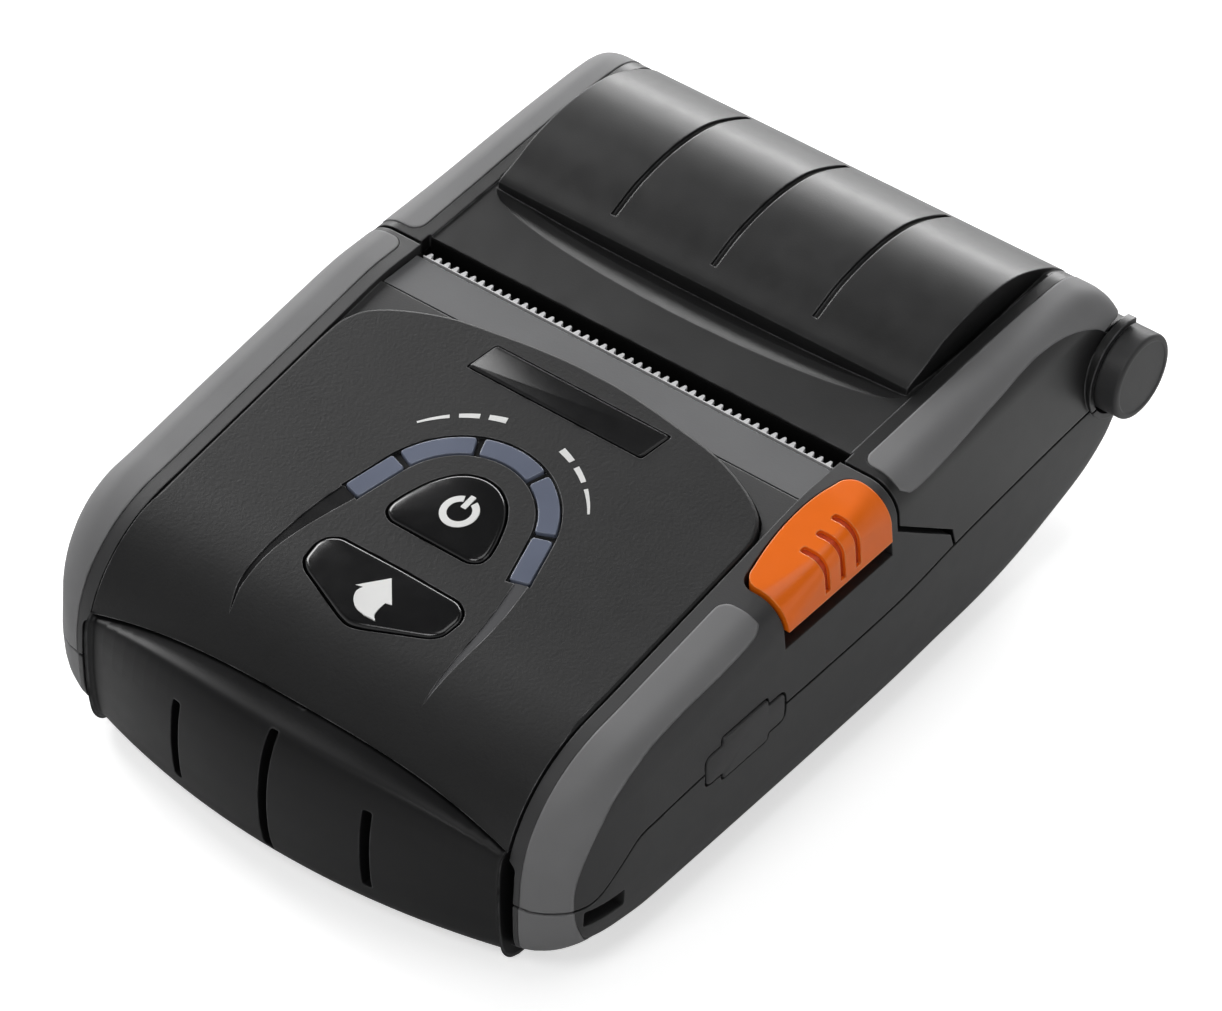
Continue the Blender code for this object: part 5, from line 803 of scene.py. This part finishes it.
def buildBattery():
    inner, edge = nose["half"] - nose["edge"], nose["edge"]
    places = [(inner * (2 * step / nose["steps"] - 1), 0.0) for step in range(nose["steps"] + 1)]
    for step in range(1, 6):
        angle = math.pi / 2 * step / 5
        x, inset = inner + edge * math.sin(angle), edge * (1 - math.cos(angle))
        places = [(-x, inset)] + places + [(x, inset)]
    rings = []
    for x, inset in places:
        line = offsetLine(noseRing(x), inset)
        rings.append([(x, y, z) for y, z in line + [(nose["back"], line[-1][1] / 2), (nose["back"], line[0][1])]])
    pack = loft("batteryPack", rings)
    fuse(pack, box((-battery["half"], nose["back"] - 0.3, battery["low"]), (battery["half"], battery["rear"], battery["high"])))
    for place, top, bottom in nose["grooves"]:
        x = place * nose["pitch"]
        ring = noseRing(x)
        band = offsetLine(ring, nose["grooveDepth"]) + list(reversed(offsetLine(ring, -2.0)))
        groove = prism(0, band, x - nose["grooveWidth"] / 2, x + nose["grooveWidth"] / 2)
        outline = rounded([(x - nose["grooveWidth"] / 2, bottom), (x + nose["grooveWidth"] / 2, bottom),
                           (x + nose["grooveWidth"] / 2, top), (x - nose["grooveWidth"] / 2, top)], 0.4, 4)
        cut(pack, keep(groove, prism(1, outline, farFront, nose["back"])))
    slack, bolt, latchY = battery["slack"], battery["bolt"] / 2 + battery["slack"], battery["latchY"]
    high = battery["low"] + 2.0
    cut(pack, box((-bolt, latchY - bolt, farBelow), (bolt, battery["rear"] + 4, high)))
    cut(pack, box((-bolt, latchY - bolt, farBelow), (bolt + battery["travel"], latchY + bolt, high)))
    finished(pack, "battery", "smoothBlack", ["battery_pack"])


def leverForm(name, outset):   # the case's own form with a tighter shoulder towards the lever's middle
    def roundAt(y):
        share = min(max((y - lever["front"]) / (lever["rear"] - lever["front"]), 0), 1)
        return body["shoulder"] - lever["tighter"] * math.sin(math.pi * share)
    return swollen(name, outset, roundAt)


def buildLever():
    low = roofAt((lever["front"] + lever["rear"]) / 2) - lever["drop"]
    piece = keep(leverForm("openLever", lever["proud"]), prism(2, leverOutline(0), low, farAbove))
    for rib in range(lever["ribs"]):
        middle = lever["front"] + lever["ribBack"] + rib * lever["ribPitch"]
        for margin in (0.0, -0.02):
            half = lever["ribWidth"] / 2 + margin
            outline = rounded([(lever["ribInner"], middle - half), (farOut, middle - half), (farOut, middle + half), (lever["ribInner"], middle + half)], 0.4, 4)
            span = prism(2, outline, low + lever["ribFoot"], farAbove)
            if margin:
                # a darker orange lining on the groove's floor: painted shade in the groove
                strip = keep(leverForm("leverGrooveShade" + str(rib), lever["proud"] - lever["ribDepth"] + 0.04), span)
                finished(cut(strip, leverForm("grooveCore", lever["proud"] - lever["ribDepth"] - 0.1)), "lever", "grooveShadeOrange")
            else:
                cut(piece, cut(keep(leverForm("groove", lever["proud"] + 0.3), span), leverForm("grooveCore", lever["proud"] - lever["ribDepth"])))
    reach = lever["pusherWidth"] / 2
    fuse(piece, box((lever["pusherX"], lever["pusherY"] - reach, lever["pusherLow"]),
                    (lever["pusherX"] + lever["pusherThick"], lever["pusherY"] + reach, low + 1.8)))
    finished(piece, "lever", "orangeLever", ["open_lever"])


def buildLid():
    cover = bodyForm("paperLid")
    collar(cover)
    keep(cover, prism(0, lidRegion(), -farOut, farOut))
    cut(cover, prism(0, above(offsetLine(railLine, lid["deckDrop"])), -panel["trough"], panel["trough"]))
    barrel = throughPoints(scaled(lid["barrel"]), 0.6)
    barrel = [(y, min(z, body["height"])) for y, z in barrel]
    frontY = barrel[0][0]
    rows, across = 12, 64
    for reach, depth, half in lid["scoops"]:   # two lenses sunk into the deck ahead of the barrel
        rings = []
        for row in range(1, 2 * rows):
            angle = math.pi * row / (2 * rows)
            ring = []
            for step in range(across):
                turn = 2 * math.pi * step / across
                ring.append((half * math.cos(turn) * math.sin(angle), frontY + reach * math.sin(turn) * math.sin(angle),
                             roofAt(frontY) - lid["deckDrop"] + depth * math.cos(angle)))
            rings.append(ring)
        cut(cover, loft("scoop", rings))
    first, last = lid["endSpan"]
    bowl = []
    for step in range(25):   # a hollow beside each end of the barrel
        y = frontY + first + (last - first) * step / 24
        bowl.append((y, roofAt(y) - lid["endDepth"] * math.sin(math.pi * step / 24) ** 0.6))
    for sign in (-1, 1):
        edges = sorted((sign * lid["half"], sign * (lid["half"] + lid["endWidth"])))
        cut(cover, prism(0, bowl + [(bowl[-1][0], farAbove), (bowl[0][0], farAbove)], *edges))
    low = hinge["z"] + hinge["knuckle"] / 2
    fuse(cover, prism(0, [(frontY, low)] + barrel + [(barrel[-1][0], low)], -lid["half"], lid["half"]))
    wall = body["wall"]
    cut(cover, bodyForm("room", body["lidSeam"] - 4, bodyRear - wall, wall, wall, wall))
    hollow = offsetLine(barrel, wall)[3:]
    hollow = [(hollow[0][0], farBelow)] + hollow + [(hollow[-1][0] - 0.6, farBelow)]
    cut(cover, prism(0, hollow, -lid["half"] + wall, lid["half"] - wall))
    fuse(cover, rod(0, (hinge["y"], hinge["z"]), hinge["knuckle"], -hinge["knuckleHalf"], hinge["knuckleHalf"]))
    for sign in (-1, 1):
        cut(cover, rod(0, (hinge["y"], hinge["z"]), hinge["capRadius"] + hinge["collarGap"], sign * hinge["knuckleHalf"], sign * farOut,
                       sides=hinge["sides"]))
        seat(cover, "lid", sign)
        cut(cover, rod(0, (hinge["y"], hinge["z"]), hinge["pinRadius"] + 0.15, sign * 24.0, sign * (hinge["knuckleHalf"] + 0.3)))
    cut(cover, box((-panel["trough"] - 0.3, farFront, farBelow), (panel["trough"] + 0.3, plate["slotRear"], farAbove)))
    for step in (-1, 0, 1):
        x = step * lid["groovePitch"]
        band = offsetLine(barrel, lid["grooveDepth"]) + list(reversed(offsetLine(barrel, -2.0)))
        span = box((x - 2, frontY + lid["grooveFront"], hinge["z"]), (x + 2, barrel[-1][0] - lid["grooveRear"], farAbove))
        cut(cover, keep(prism(0, band, x - lid["grooveWidth"] / 2, x + lid["grooveWidth"] / 2), span))
    finished(cover, "cover", "gentleGloss", ["paper_cover"])
    # a near-black matte sheet across the slot's rear wall: painted shade in the paper slot
    rear = plate["slotRear"]
    slotShade = box((-panel["trough"], rear - plate["slotShadeThick"], roofAt(rear) - 6), (panel["trough"], rear + 0.05, roofAt(rear) - lid["deckDrop"] - plate["slotShadeDrop"]), "slotShadeSheet")
    finished(slotShade, "cover", "slotShadeBlack")


def buildHingeCaps():
    for side, sign in (("Left", -1), ("Right", 1)):
        face, radius, edge = hinge["capFace"] if sign > 0 else hinge["capFlush"], hinge["capRadius"], hinge["capEdge"]
        steps = [(hinge["towerFace"] + 0.3, hinge["pinRadius"] + 0.15), (hinge["towerFace"] + 0.3, radius), (face - edge, radius)]
        steps += [(face - edge + edge * math.sin(a), radius - edge + edge * math.cos(a)) for a in (0.4, 0.8, 1.2, math.pi / 2)]
        steps += [(face, radius - 0.75), (face - hinge["capDish"], radius - 0.9), (face - hinge["capDish"], 0.4)]
        rings = [[(sign * x, y, z) for y, z in circle((hinge["y"], hinge["z"]), r, hinge["sides"])] for x, r in steps]
        finished(loft("hingeCap" + side, rings), "base", "satinShell", ["hinge_cap_" + side.lower()])


def buildDoor():
    outer = body["halfWidth"] + door["proud"]
    rings = [[(x, y, z) for y, z in doorOutline(-inset)] for x, inset in
             ((body["halfWidth"] - door["thick"], 0.0), (outer - 0.25, 0.0), (outer - 0.08, 0.08), (outer, 0.25))]
    finished(loft("socketDoor", rings), "socket_door", "satinShell", ["connector_door"])


def buildLatch():
    length, width, y = battery["latchLength"] / 2, battery["latchWidth"] / 2, battery["latchY"]
    low, high = battery["latchSink"], battery["latchSink"] + battery["latchThick"]
    outline = [(-width, y - length), (width, y - length), (width, y + length), (-width, y + length)]
    rings = [[(a, b, z) for a, b in grown(rounded(outline, 1.2), -inset)] for inset, z in ((0.3, low), (0.0, low + 0.3), (0.0, high))]
    latch = loft("batteryLatch", rings)
    bolt = battery["bolt"] / 2
    fuse(latch, box((-bolt, y - bolt, low + 0.4), (bolt, y + bolt, battery["low"] + 1.7)))
    for step in range(-2, 3):
        cut(latch, box((step * 1.6 - 0.35, y - length + 1.5, low - 1), (step * 1.6 + 0.35, y + length - 1.5, low + 0.3)))
    finished(latch, "latch", "smoothBlack", ["battery_latch"])


# finishes

class Wire:   # a socket whose sums become Math nodes
    def __init__(self, socket):
        self.socket = socket

    def sum(self, operation, other=0.0, flipped=False):
        node = self.socket.id_data.nodes.new("ShaderNodeMath")
        node.operation = operation
        for index, value in enumerate((other, self) if flipped else (self, other)):
            plug(self.socket.id_data, node.inputs[index], value)
        return Wire(node.outputs[0])

    def __add__(self, other):
        return self.sum("ADD", other)

    def __radd__(self, other):
        return self.sum("ADD", other, True)

    def __sub__(self, other):
        return self.sum("SUBTRACT", other)

    def __rsub__(self, other):
        return self.sum("SUBTRACT", other, True)

    def __mul__(self, other):
        return self.sum("MULTIPLY", other)

    def __rmul__(self, other):
        return self.sum("MULTIPLY", other, True)

    def __truediv__(self, other):
        return self.sum("DIVIDE", other)

    def __pow__(self, other):
        return self.sum("POWER", other)


def plug(tree, socket, value):
    if isinstance(value, Wire):
        tree.links.new(value.socket, socket)
    else:
        socket.default_value = value


class Finish:
    def __init__(self, name):
        self.material = bpy.data.materials.new(name)
        self.material.use_nodes = True
        self.tree = self.material.node_tree
        self.shader = self.tree.nodes["Principled BSDF"]

    def node(self, kind, settings=None, sockets=None, output=0):
        made = self.tree.nodes.new("ShaderNode" + kind)
        for key, value in (settings or {}).items():
            if key == "stops":
                ramp = made.color_ramp
                for index, (place, level) in enumerate(value):
                    stop = ramp.elements[index] if index < 2 else ramp.elements.new(place)
                    stop.position, stop.color = place, (level, level, level, 1)
            else:
                setattr(made, key, value)
        for key, value in (sockets or {}).items():
            plug(self.tree, made.inputs[key], value)
        return Wire(made.outputs[output])

    def set(self, **values):
        for key, value in values.items():
            plug(self.tree, self.shader.inputs[key.replace("_", " ")], value)

    def place(self):
        return self.node("TexCoord", output=3)

    def noise(self, scale, detail=2.0, rough=0.5):
        return self.node("TexNoise", None, {"Vector": self.place(), "Scale": scale, "Detail": detail, "Roughness": rough})

    def ramp(self, value, low, high):
        return self.node("MapRange", {"clamp": True}, {"Value": value, "From Min": low, "From Max": high})

    def edge(self, radius):   # 0 on the flats, rising towards 1 along edges
        soft = self.node("Bevel", {"samples": 6}, {"Radius": radius * mm})
        plain = self.node("NewGeometry", output="Normal")
        return 1 - self.node("VectorMath", {"operation": "DOT_PRODUCT"}, {0: soft, 1: plain}, "Value")

    def mix(self, amount, first, second):
        colours = [value if isinstance(value, Wire) else (*value, 1) for value in (first, second)]
        return self.node("Mix", {"data_type": "RGBA"}, {"Factor": amount, 6: colours[0], 7: colours[1]}, 2)

    def bump(self, height, strength, distance, radius=0.0):
        sockets = {"Height": height, "Strength": strength, "Distance": distance * mm}
        if radius:
            sockets["Normal"] = self.node("Bevel", {"samples": 6}, {"Radius": radius * mm})
        return self.node("Bump", None, sockets)


finishes = {}

plastics = {   # colour, colour along edges (partly wear, partly a painted edge highlight), roughness, grain size per metre, grain strength, soft edge radius, coat, specular
    "satinShell": ((0.034, 0.034, 0.035), (0.100, 0.100, 0.102), 0.50, 4200, 0.22, 0.22, 0.0, 0.45),
    "gentleGloss": ((0.0090, 0.0090, 0.0093), (0.110, 0.110, 0.114), 0.36, 4600, 0.14, 0.26, 0.0, 0.5),
    "grainedPanel": ((0.0130, 0.0130, 0.0135), (0.30, 0.30, 0.305), 0.46, 2300, 0.50, 0.16, 0.0, 0.30),
    "greyPlate": ((0.118, 0.119, 0.123), (0.22, 0.22, 0.225), 0.52, 3600, 0.14, 0.12, 0.0, 0.4),
    "softGrip": ((0.180, 0.180, 0.183), (0.25, 0.25, 0.255), 0.60, 6500, 0.10, 0.45, 0.0, 0.35),
    "smoothBlack": ((0.0085, 0.0085, 0.009), (0.080, 0.080, 0.082), 0.42, 5600, 0.08, 0.28, 0.0, 0.22),
    "slotShadeBlack": ((0.0020, 0.0020, 0.0021), (0.004, 0.004, 0.004), 0.85, 3000, 0.10, 0.10, 0.0, 0.1),
    "glossKey": ((0.006, 0.006, 0.0065), (0.060, 0.060, 0.062), 0.18, 900, 0.02, 0.15, 0.2, 0.5),
    "glossBadge": ((0.007, 0.007, 0.0075), (0.080, 0.080, 0.082), 0.24, 900, 0.02, 0.10, 0.0, 0.4),
    "smokedInlay": ((0.115, 0.115, 0.120), (0.26, 0.26, 0.27), 0.18, 900, 0.02, 0.08, 0.3, 0.5),
    "whitePrint": ((0.80, 0.80, 0.79), (0.60, 0.60, 0.59), 0.45, 3000, 0.03, 0.02, 0.0, 0.5),
    "paleSteel": ((0.70, 0.70, 0.71), (0.85, 0.85, 0.86), 0.32, 1500, 0.05, 0.05, 0.0, 0.9),
    "orangeLever": ((0.96, 0.170, 0.004), (0.95, 0.42, 0.14), 0.32, 3000, 0.02, 0.24, 0.0, 0.35),
    "grooveShadeOrange": ((0.56, 0.055, 0.004), (0.60, 0.08, 0.01), 0.40, 3000, 0.02, 0.10, 0.0, 0.3),
    "paleWindow": ((0.150, 0.170, 0.232), (0.36, 0.40, 0.50), 0.20, 1500, 0.03, 0.18, 0.4, 0.5),
    "gearWhite": ((0.62, 0.61, 0.56), (0.74, 0.73, 0.69), 0.42, 2500, 0.06, 0.10, 0.0, 0.5),
    "rollerRubber": ((0.022, 0.022, 0.023), (0.05, 0.05, 0.05), 0.72, 5000, 0.20, 0.10, 0.0, 0.4),
    "boardGreen": ((0.012, 0.085, 0.035), (0.10, 0.13, 0.06), 0.38, 1200, 0.05, 0.05, 0.2, 0.5),
    "headGlaze": ((0.46, 0.43, 0.38), (0.60, 0.57, 0.52), 0.24, 900, 0.03, 0.10, 0.2, 0.5),
    "ribbonAmber": ((0.42, 0.25, 0.07), (0.50, 0.33, 0.12), 0.34, 1500, 0.04, 0.05, 0.1, 0.5)}

metals = {   # colour, roughness, brush scale
    "brightSteel": ((0.78, 0.78, 0.79), 0.24, 900), "dieCast": ((0.40, 0.40, 0.41), 0.46, 2200),
    "pinSteel": ((0.60, 0.60, 0.61), 0.26, 1400), "bushBrass": ((0.72, 0.52, 0.22), 0.30, 1400)}


def mouldedPlastic(name, colour, edgeWearAndHighlight, roughness, grainScale, grainStrength, edgeRadius, coat, specular):
    finish = Finish(name)
    grain = finish.noise(grainScale, 2.0, 0.55)
    cloud = finish.noise(60, 3.0, 0.5)
    smear = finish.noise(420, 2.0, 0.5)
    edge = finish.ramp(finish.edge(edgeRadius * 1.4), 0.02, 0.30)
    darker = tuple(level * 0.86 for level in colour)
    ground = finish.mix(finish.ramp(cloud, 0.35, 0.65), darker, colour)
    # edges take the edge colour: partly wear, partly a painted highlight on the rounded edges
    mask = edge * finish.ramp(smear, 0.30, 0.62)
    shade = finish.mix(mask, ground, edgeWearAndHighlight)
    rough = roughness + (cloud - 0.5) * 0.08 + (smear - 0.5) * 0.07 - mask * 0.06
    finish.set(Base_Color=shade, Roughness=rough, Specular_IOR_Level=specular, Normal=finish.bump(grain, grainStrength, 0.06, edgeRadius))
    if coat:
        finish.set(Coat_Weight=coat, Coat_Roughness=0.08)
    return finish.material


def workedMetal(name, colour, roughness, scale):
    finish = Finish(name)
    stretched = finish.node("Mapping", None, {"Vector": finish.place(), "Scale": (0.04, 1.0, 1.0)})
    brush = finish.node("TexNoise", None, {"Vector": stretched, "Scale": scale, "Detail": 3.0})
    cloud = finish.noise(120, 3.0)
    dull = tuple(level * 0.72 for level in colour)
    shade = finish.mix(finish.ramp(cloud, 0.3, 0.6), dull, colour)
    finish.set(Base_Color=shade, Metallic=1.0, Roughness=roughness + (brush - 0.5) * 0.22 + (cloud - 0.5) * 0.10,
               Normal=finish.bump(brush, 0.12, 0.03, 0.12))
    return finish.material


for name, values in plastics.items():
    finishes[name] = mouldedPlastic(name, *values)
for name, values in metals.items():
    finishes[name] = workedMetal(name, *values)
print("finishes ready:", len(finishes))

buildLowerCase()
buildUpperCase()
print("case shells ready")
buildGrips()
print("grips ready")
buildPanel()
buildButtons()
buildPlateAndTearBar()
print("panel pieces ready")
buildBattery()
buildLever()
print("battery and lever ready")
buildLid()
buildHingeCaps()
buildDoor()
buildLatch()
print("lid, caps and door ready")

nodeFinishes = {   # the inner pieces keep their own solids
    "dieCast": ["print_frame", "head_sink", "stepper_motor", "radio_module", "platen_holder"],
    "pinSteel": ["hinge_pin_left", "hinge_pin_right", "platen_shaft", "lock_shaft", "lock_lever_left", "lock_lever_right", "lock_crank",
                 "lock_spring", "head_spring", "frame_screw_left", "frame_screw_right", "reduction_axle", "data_socket",
                 "case_screw_1", "case_screw_2", "case_screw_3", "case_screw_4"],
    "bushBrass": ["platen_bush_left", "platen_bush_right", "motor_pinion", "battery_contacts"],
    "gearWhite": ["platen_gear", "reduction_gear"],
    "rollerRubber": ["platen_roller", "key_mat"],
    "boardGreen": ["main_board", "port_board"],
    "headGlaze": ["print_head"],
    "ribbonAmber": ["head_cable"],
    "smoothBlack": ["roll_tray", "paper_sensor", "buzzer"]}
for finishName, members in nodeFinishes.items():
    for member in members:
        mesh = frame["nodes"][member].data
        mesh.materials.clear()
        mesh.materials.append(finishes[finishName])


# studio

studio = {"floor": 0.80, "floorGlow": 0.60, "low": 0.60, "high": 0.06, "lowTo": 0.20, "highFrom": 0.60}


def buildStudio():
    mesh = bpy.data.meshes.new("studioFloor")
    reach = 3.0
    mesh.from_pydata([(-reach, -reach, 0), (reach, -reach, 0), (reach, reach, 0), (-reach, reach, 0)], [], [(0, 1, 2, 3)])
    floor = bpy.data.objects.new("studioFloor", mesh)
    bpy.context.scene.collection.objects.link(floor)
    paper = Finish("studioPaper")
    fibre = paper.noise(90, 2.0)
    seen = paper.node("LightPath", output="Is Camera Ray")
    paper.set(Base_Color=(studio["floor"],) * 3 + (1,), Roughness=0.85 + (fibre - 0.5) * 0.05, Emission_Strength=1.0,
              Emission_Color=paper.mix(seen, (0, 0, 0), (studio["floorGlow"],) * 3))
    mesh.materials.append(paper.material)
    world = bpy.data.worlds.new("studioWorld")
    world.use_nodes = True
    bpy.context.scene.world = world
    tree = world.node_tree
    ground = tree.nodes["Background"]
    paths = tree.nodes.new("ShaderNodeLightPath")
    seen = (Wire(paths.outputs["Is Camera Ray"]) + Wire(paths.outputs["Is Transmission Ray"])).sum("MINIMUM", 1.0)
    split = tree.nodes.new("ShaderNodeSeparateXYZ")
    tree.links.new(tree.nodes.new("ShaderNodeTexCoord").outputs["Generated"], split.inputs[0])
    fall = ((Wire(split.outputs["Z"]) - studio["lowTo"]) / (studio["highFrom"] - studio["lowTo"])).sum("MAXIMUM", 0.0).sum("MINIMUM", 1.0)
    sky = studio["low"] + fall * (studio["high"] - studio["low"])   # pale near the horizon, dim overhead
    plug(tree, ground.inputs["Strength"], seen + (1 - seen) * sky)
    ground.inputs["Color"].default_value = (1, 1, 1, 1)


lamps = {   # place, aim, width, height, power, in metres and watts
    "above": ((0.10, 0.12, 1.05), (0.0, 0.0, 0.02), 0.60, 0.60, 2.4),
    "left": ((-0.92, 0.25, 0.58), (0.0, 0.0, 0.02), 0.50, 0.50, 7.5),
    "behind": ((-0.50, 0.98, 0.31), (0.0, 0.03, 0.02), 1.10, 0.42, 10.0),
    "front": ((0.02, -0.55, 0.82), (0.0, 0.0, 0.02), 0.32, 0.32, 2.0),
    "right": ((0.92, 0.32, 0.48), (0.03, 0.0, 0.02), 0.50, 0.45, 0.7)}


def buildLamps():
    for name, (place, aim, width, height, power) in lamps.items():
        data = bpy.data.lights.new(name, "AREA")
        data.shape, data.size, data.size_y, data.energy = "RECTANGLE", width, height, power
        lamp = bpy.data.objects.new(name, data)
        lamp.location = place
        lamp.rotation_euler = (Vector(aim) - Vector(place)).to_track_quat("-Z", "Y").to_euler()
        bpy.context.scene.collection.objects.link(lamp)


view = {"place": (0.3232, -0.4003, 0.4755), "aim": (0.00625, -0.00256, 0.0210), "lens": 177.45, "sensor": 36.0, "roll": 0.19}


def buildCamera():
    data = bpy.data.cameras.new("photoCamera")
    data.lens, data.sensor_width, data.clip_start, data.clip_end = view["lens"], view["sensor"], 0.02, 20
    data.sensor_fit = "HORIZONTAL"
    camera = bpy.data.objects.new("photoCamera", data)
    turn = (Vector(view["aim"]) - Vector(view["place"])).to_track_quat("-Z", "Y").to_matrix()
    camera.matrix_world = Matrix.Translation(view["place"]) @ (turn @ Matrix.Rotation(math.radians(view["roll"]), 3, "Z")).to_4x4()
    bpy.context.scene.collection.objects.link(camera)
    bpy.context.scene.camera = camera


buildStudio()
buildLamps()
buildCamera()
bpy.context.scene.view_settings.view_transform = "Standard"
print("studio ready")
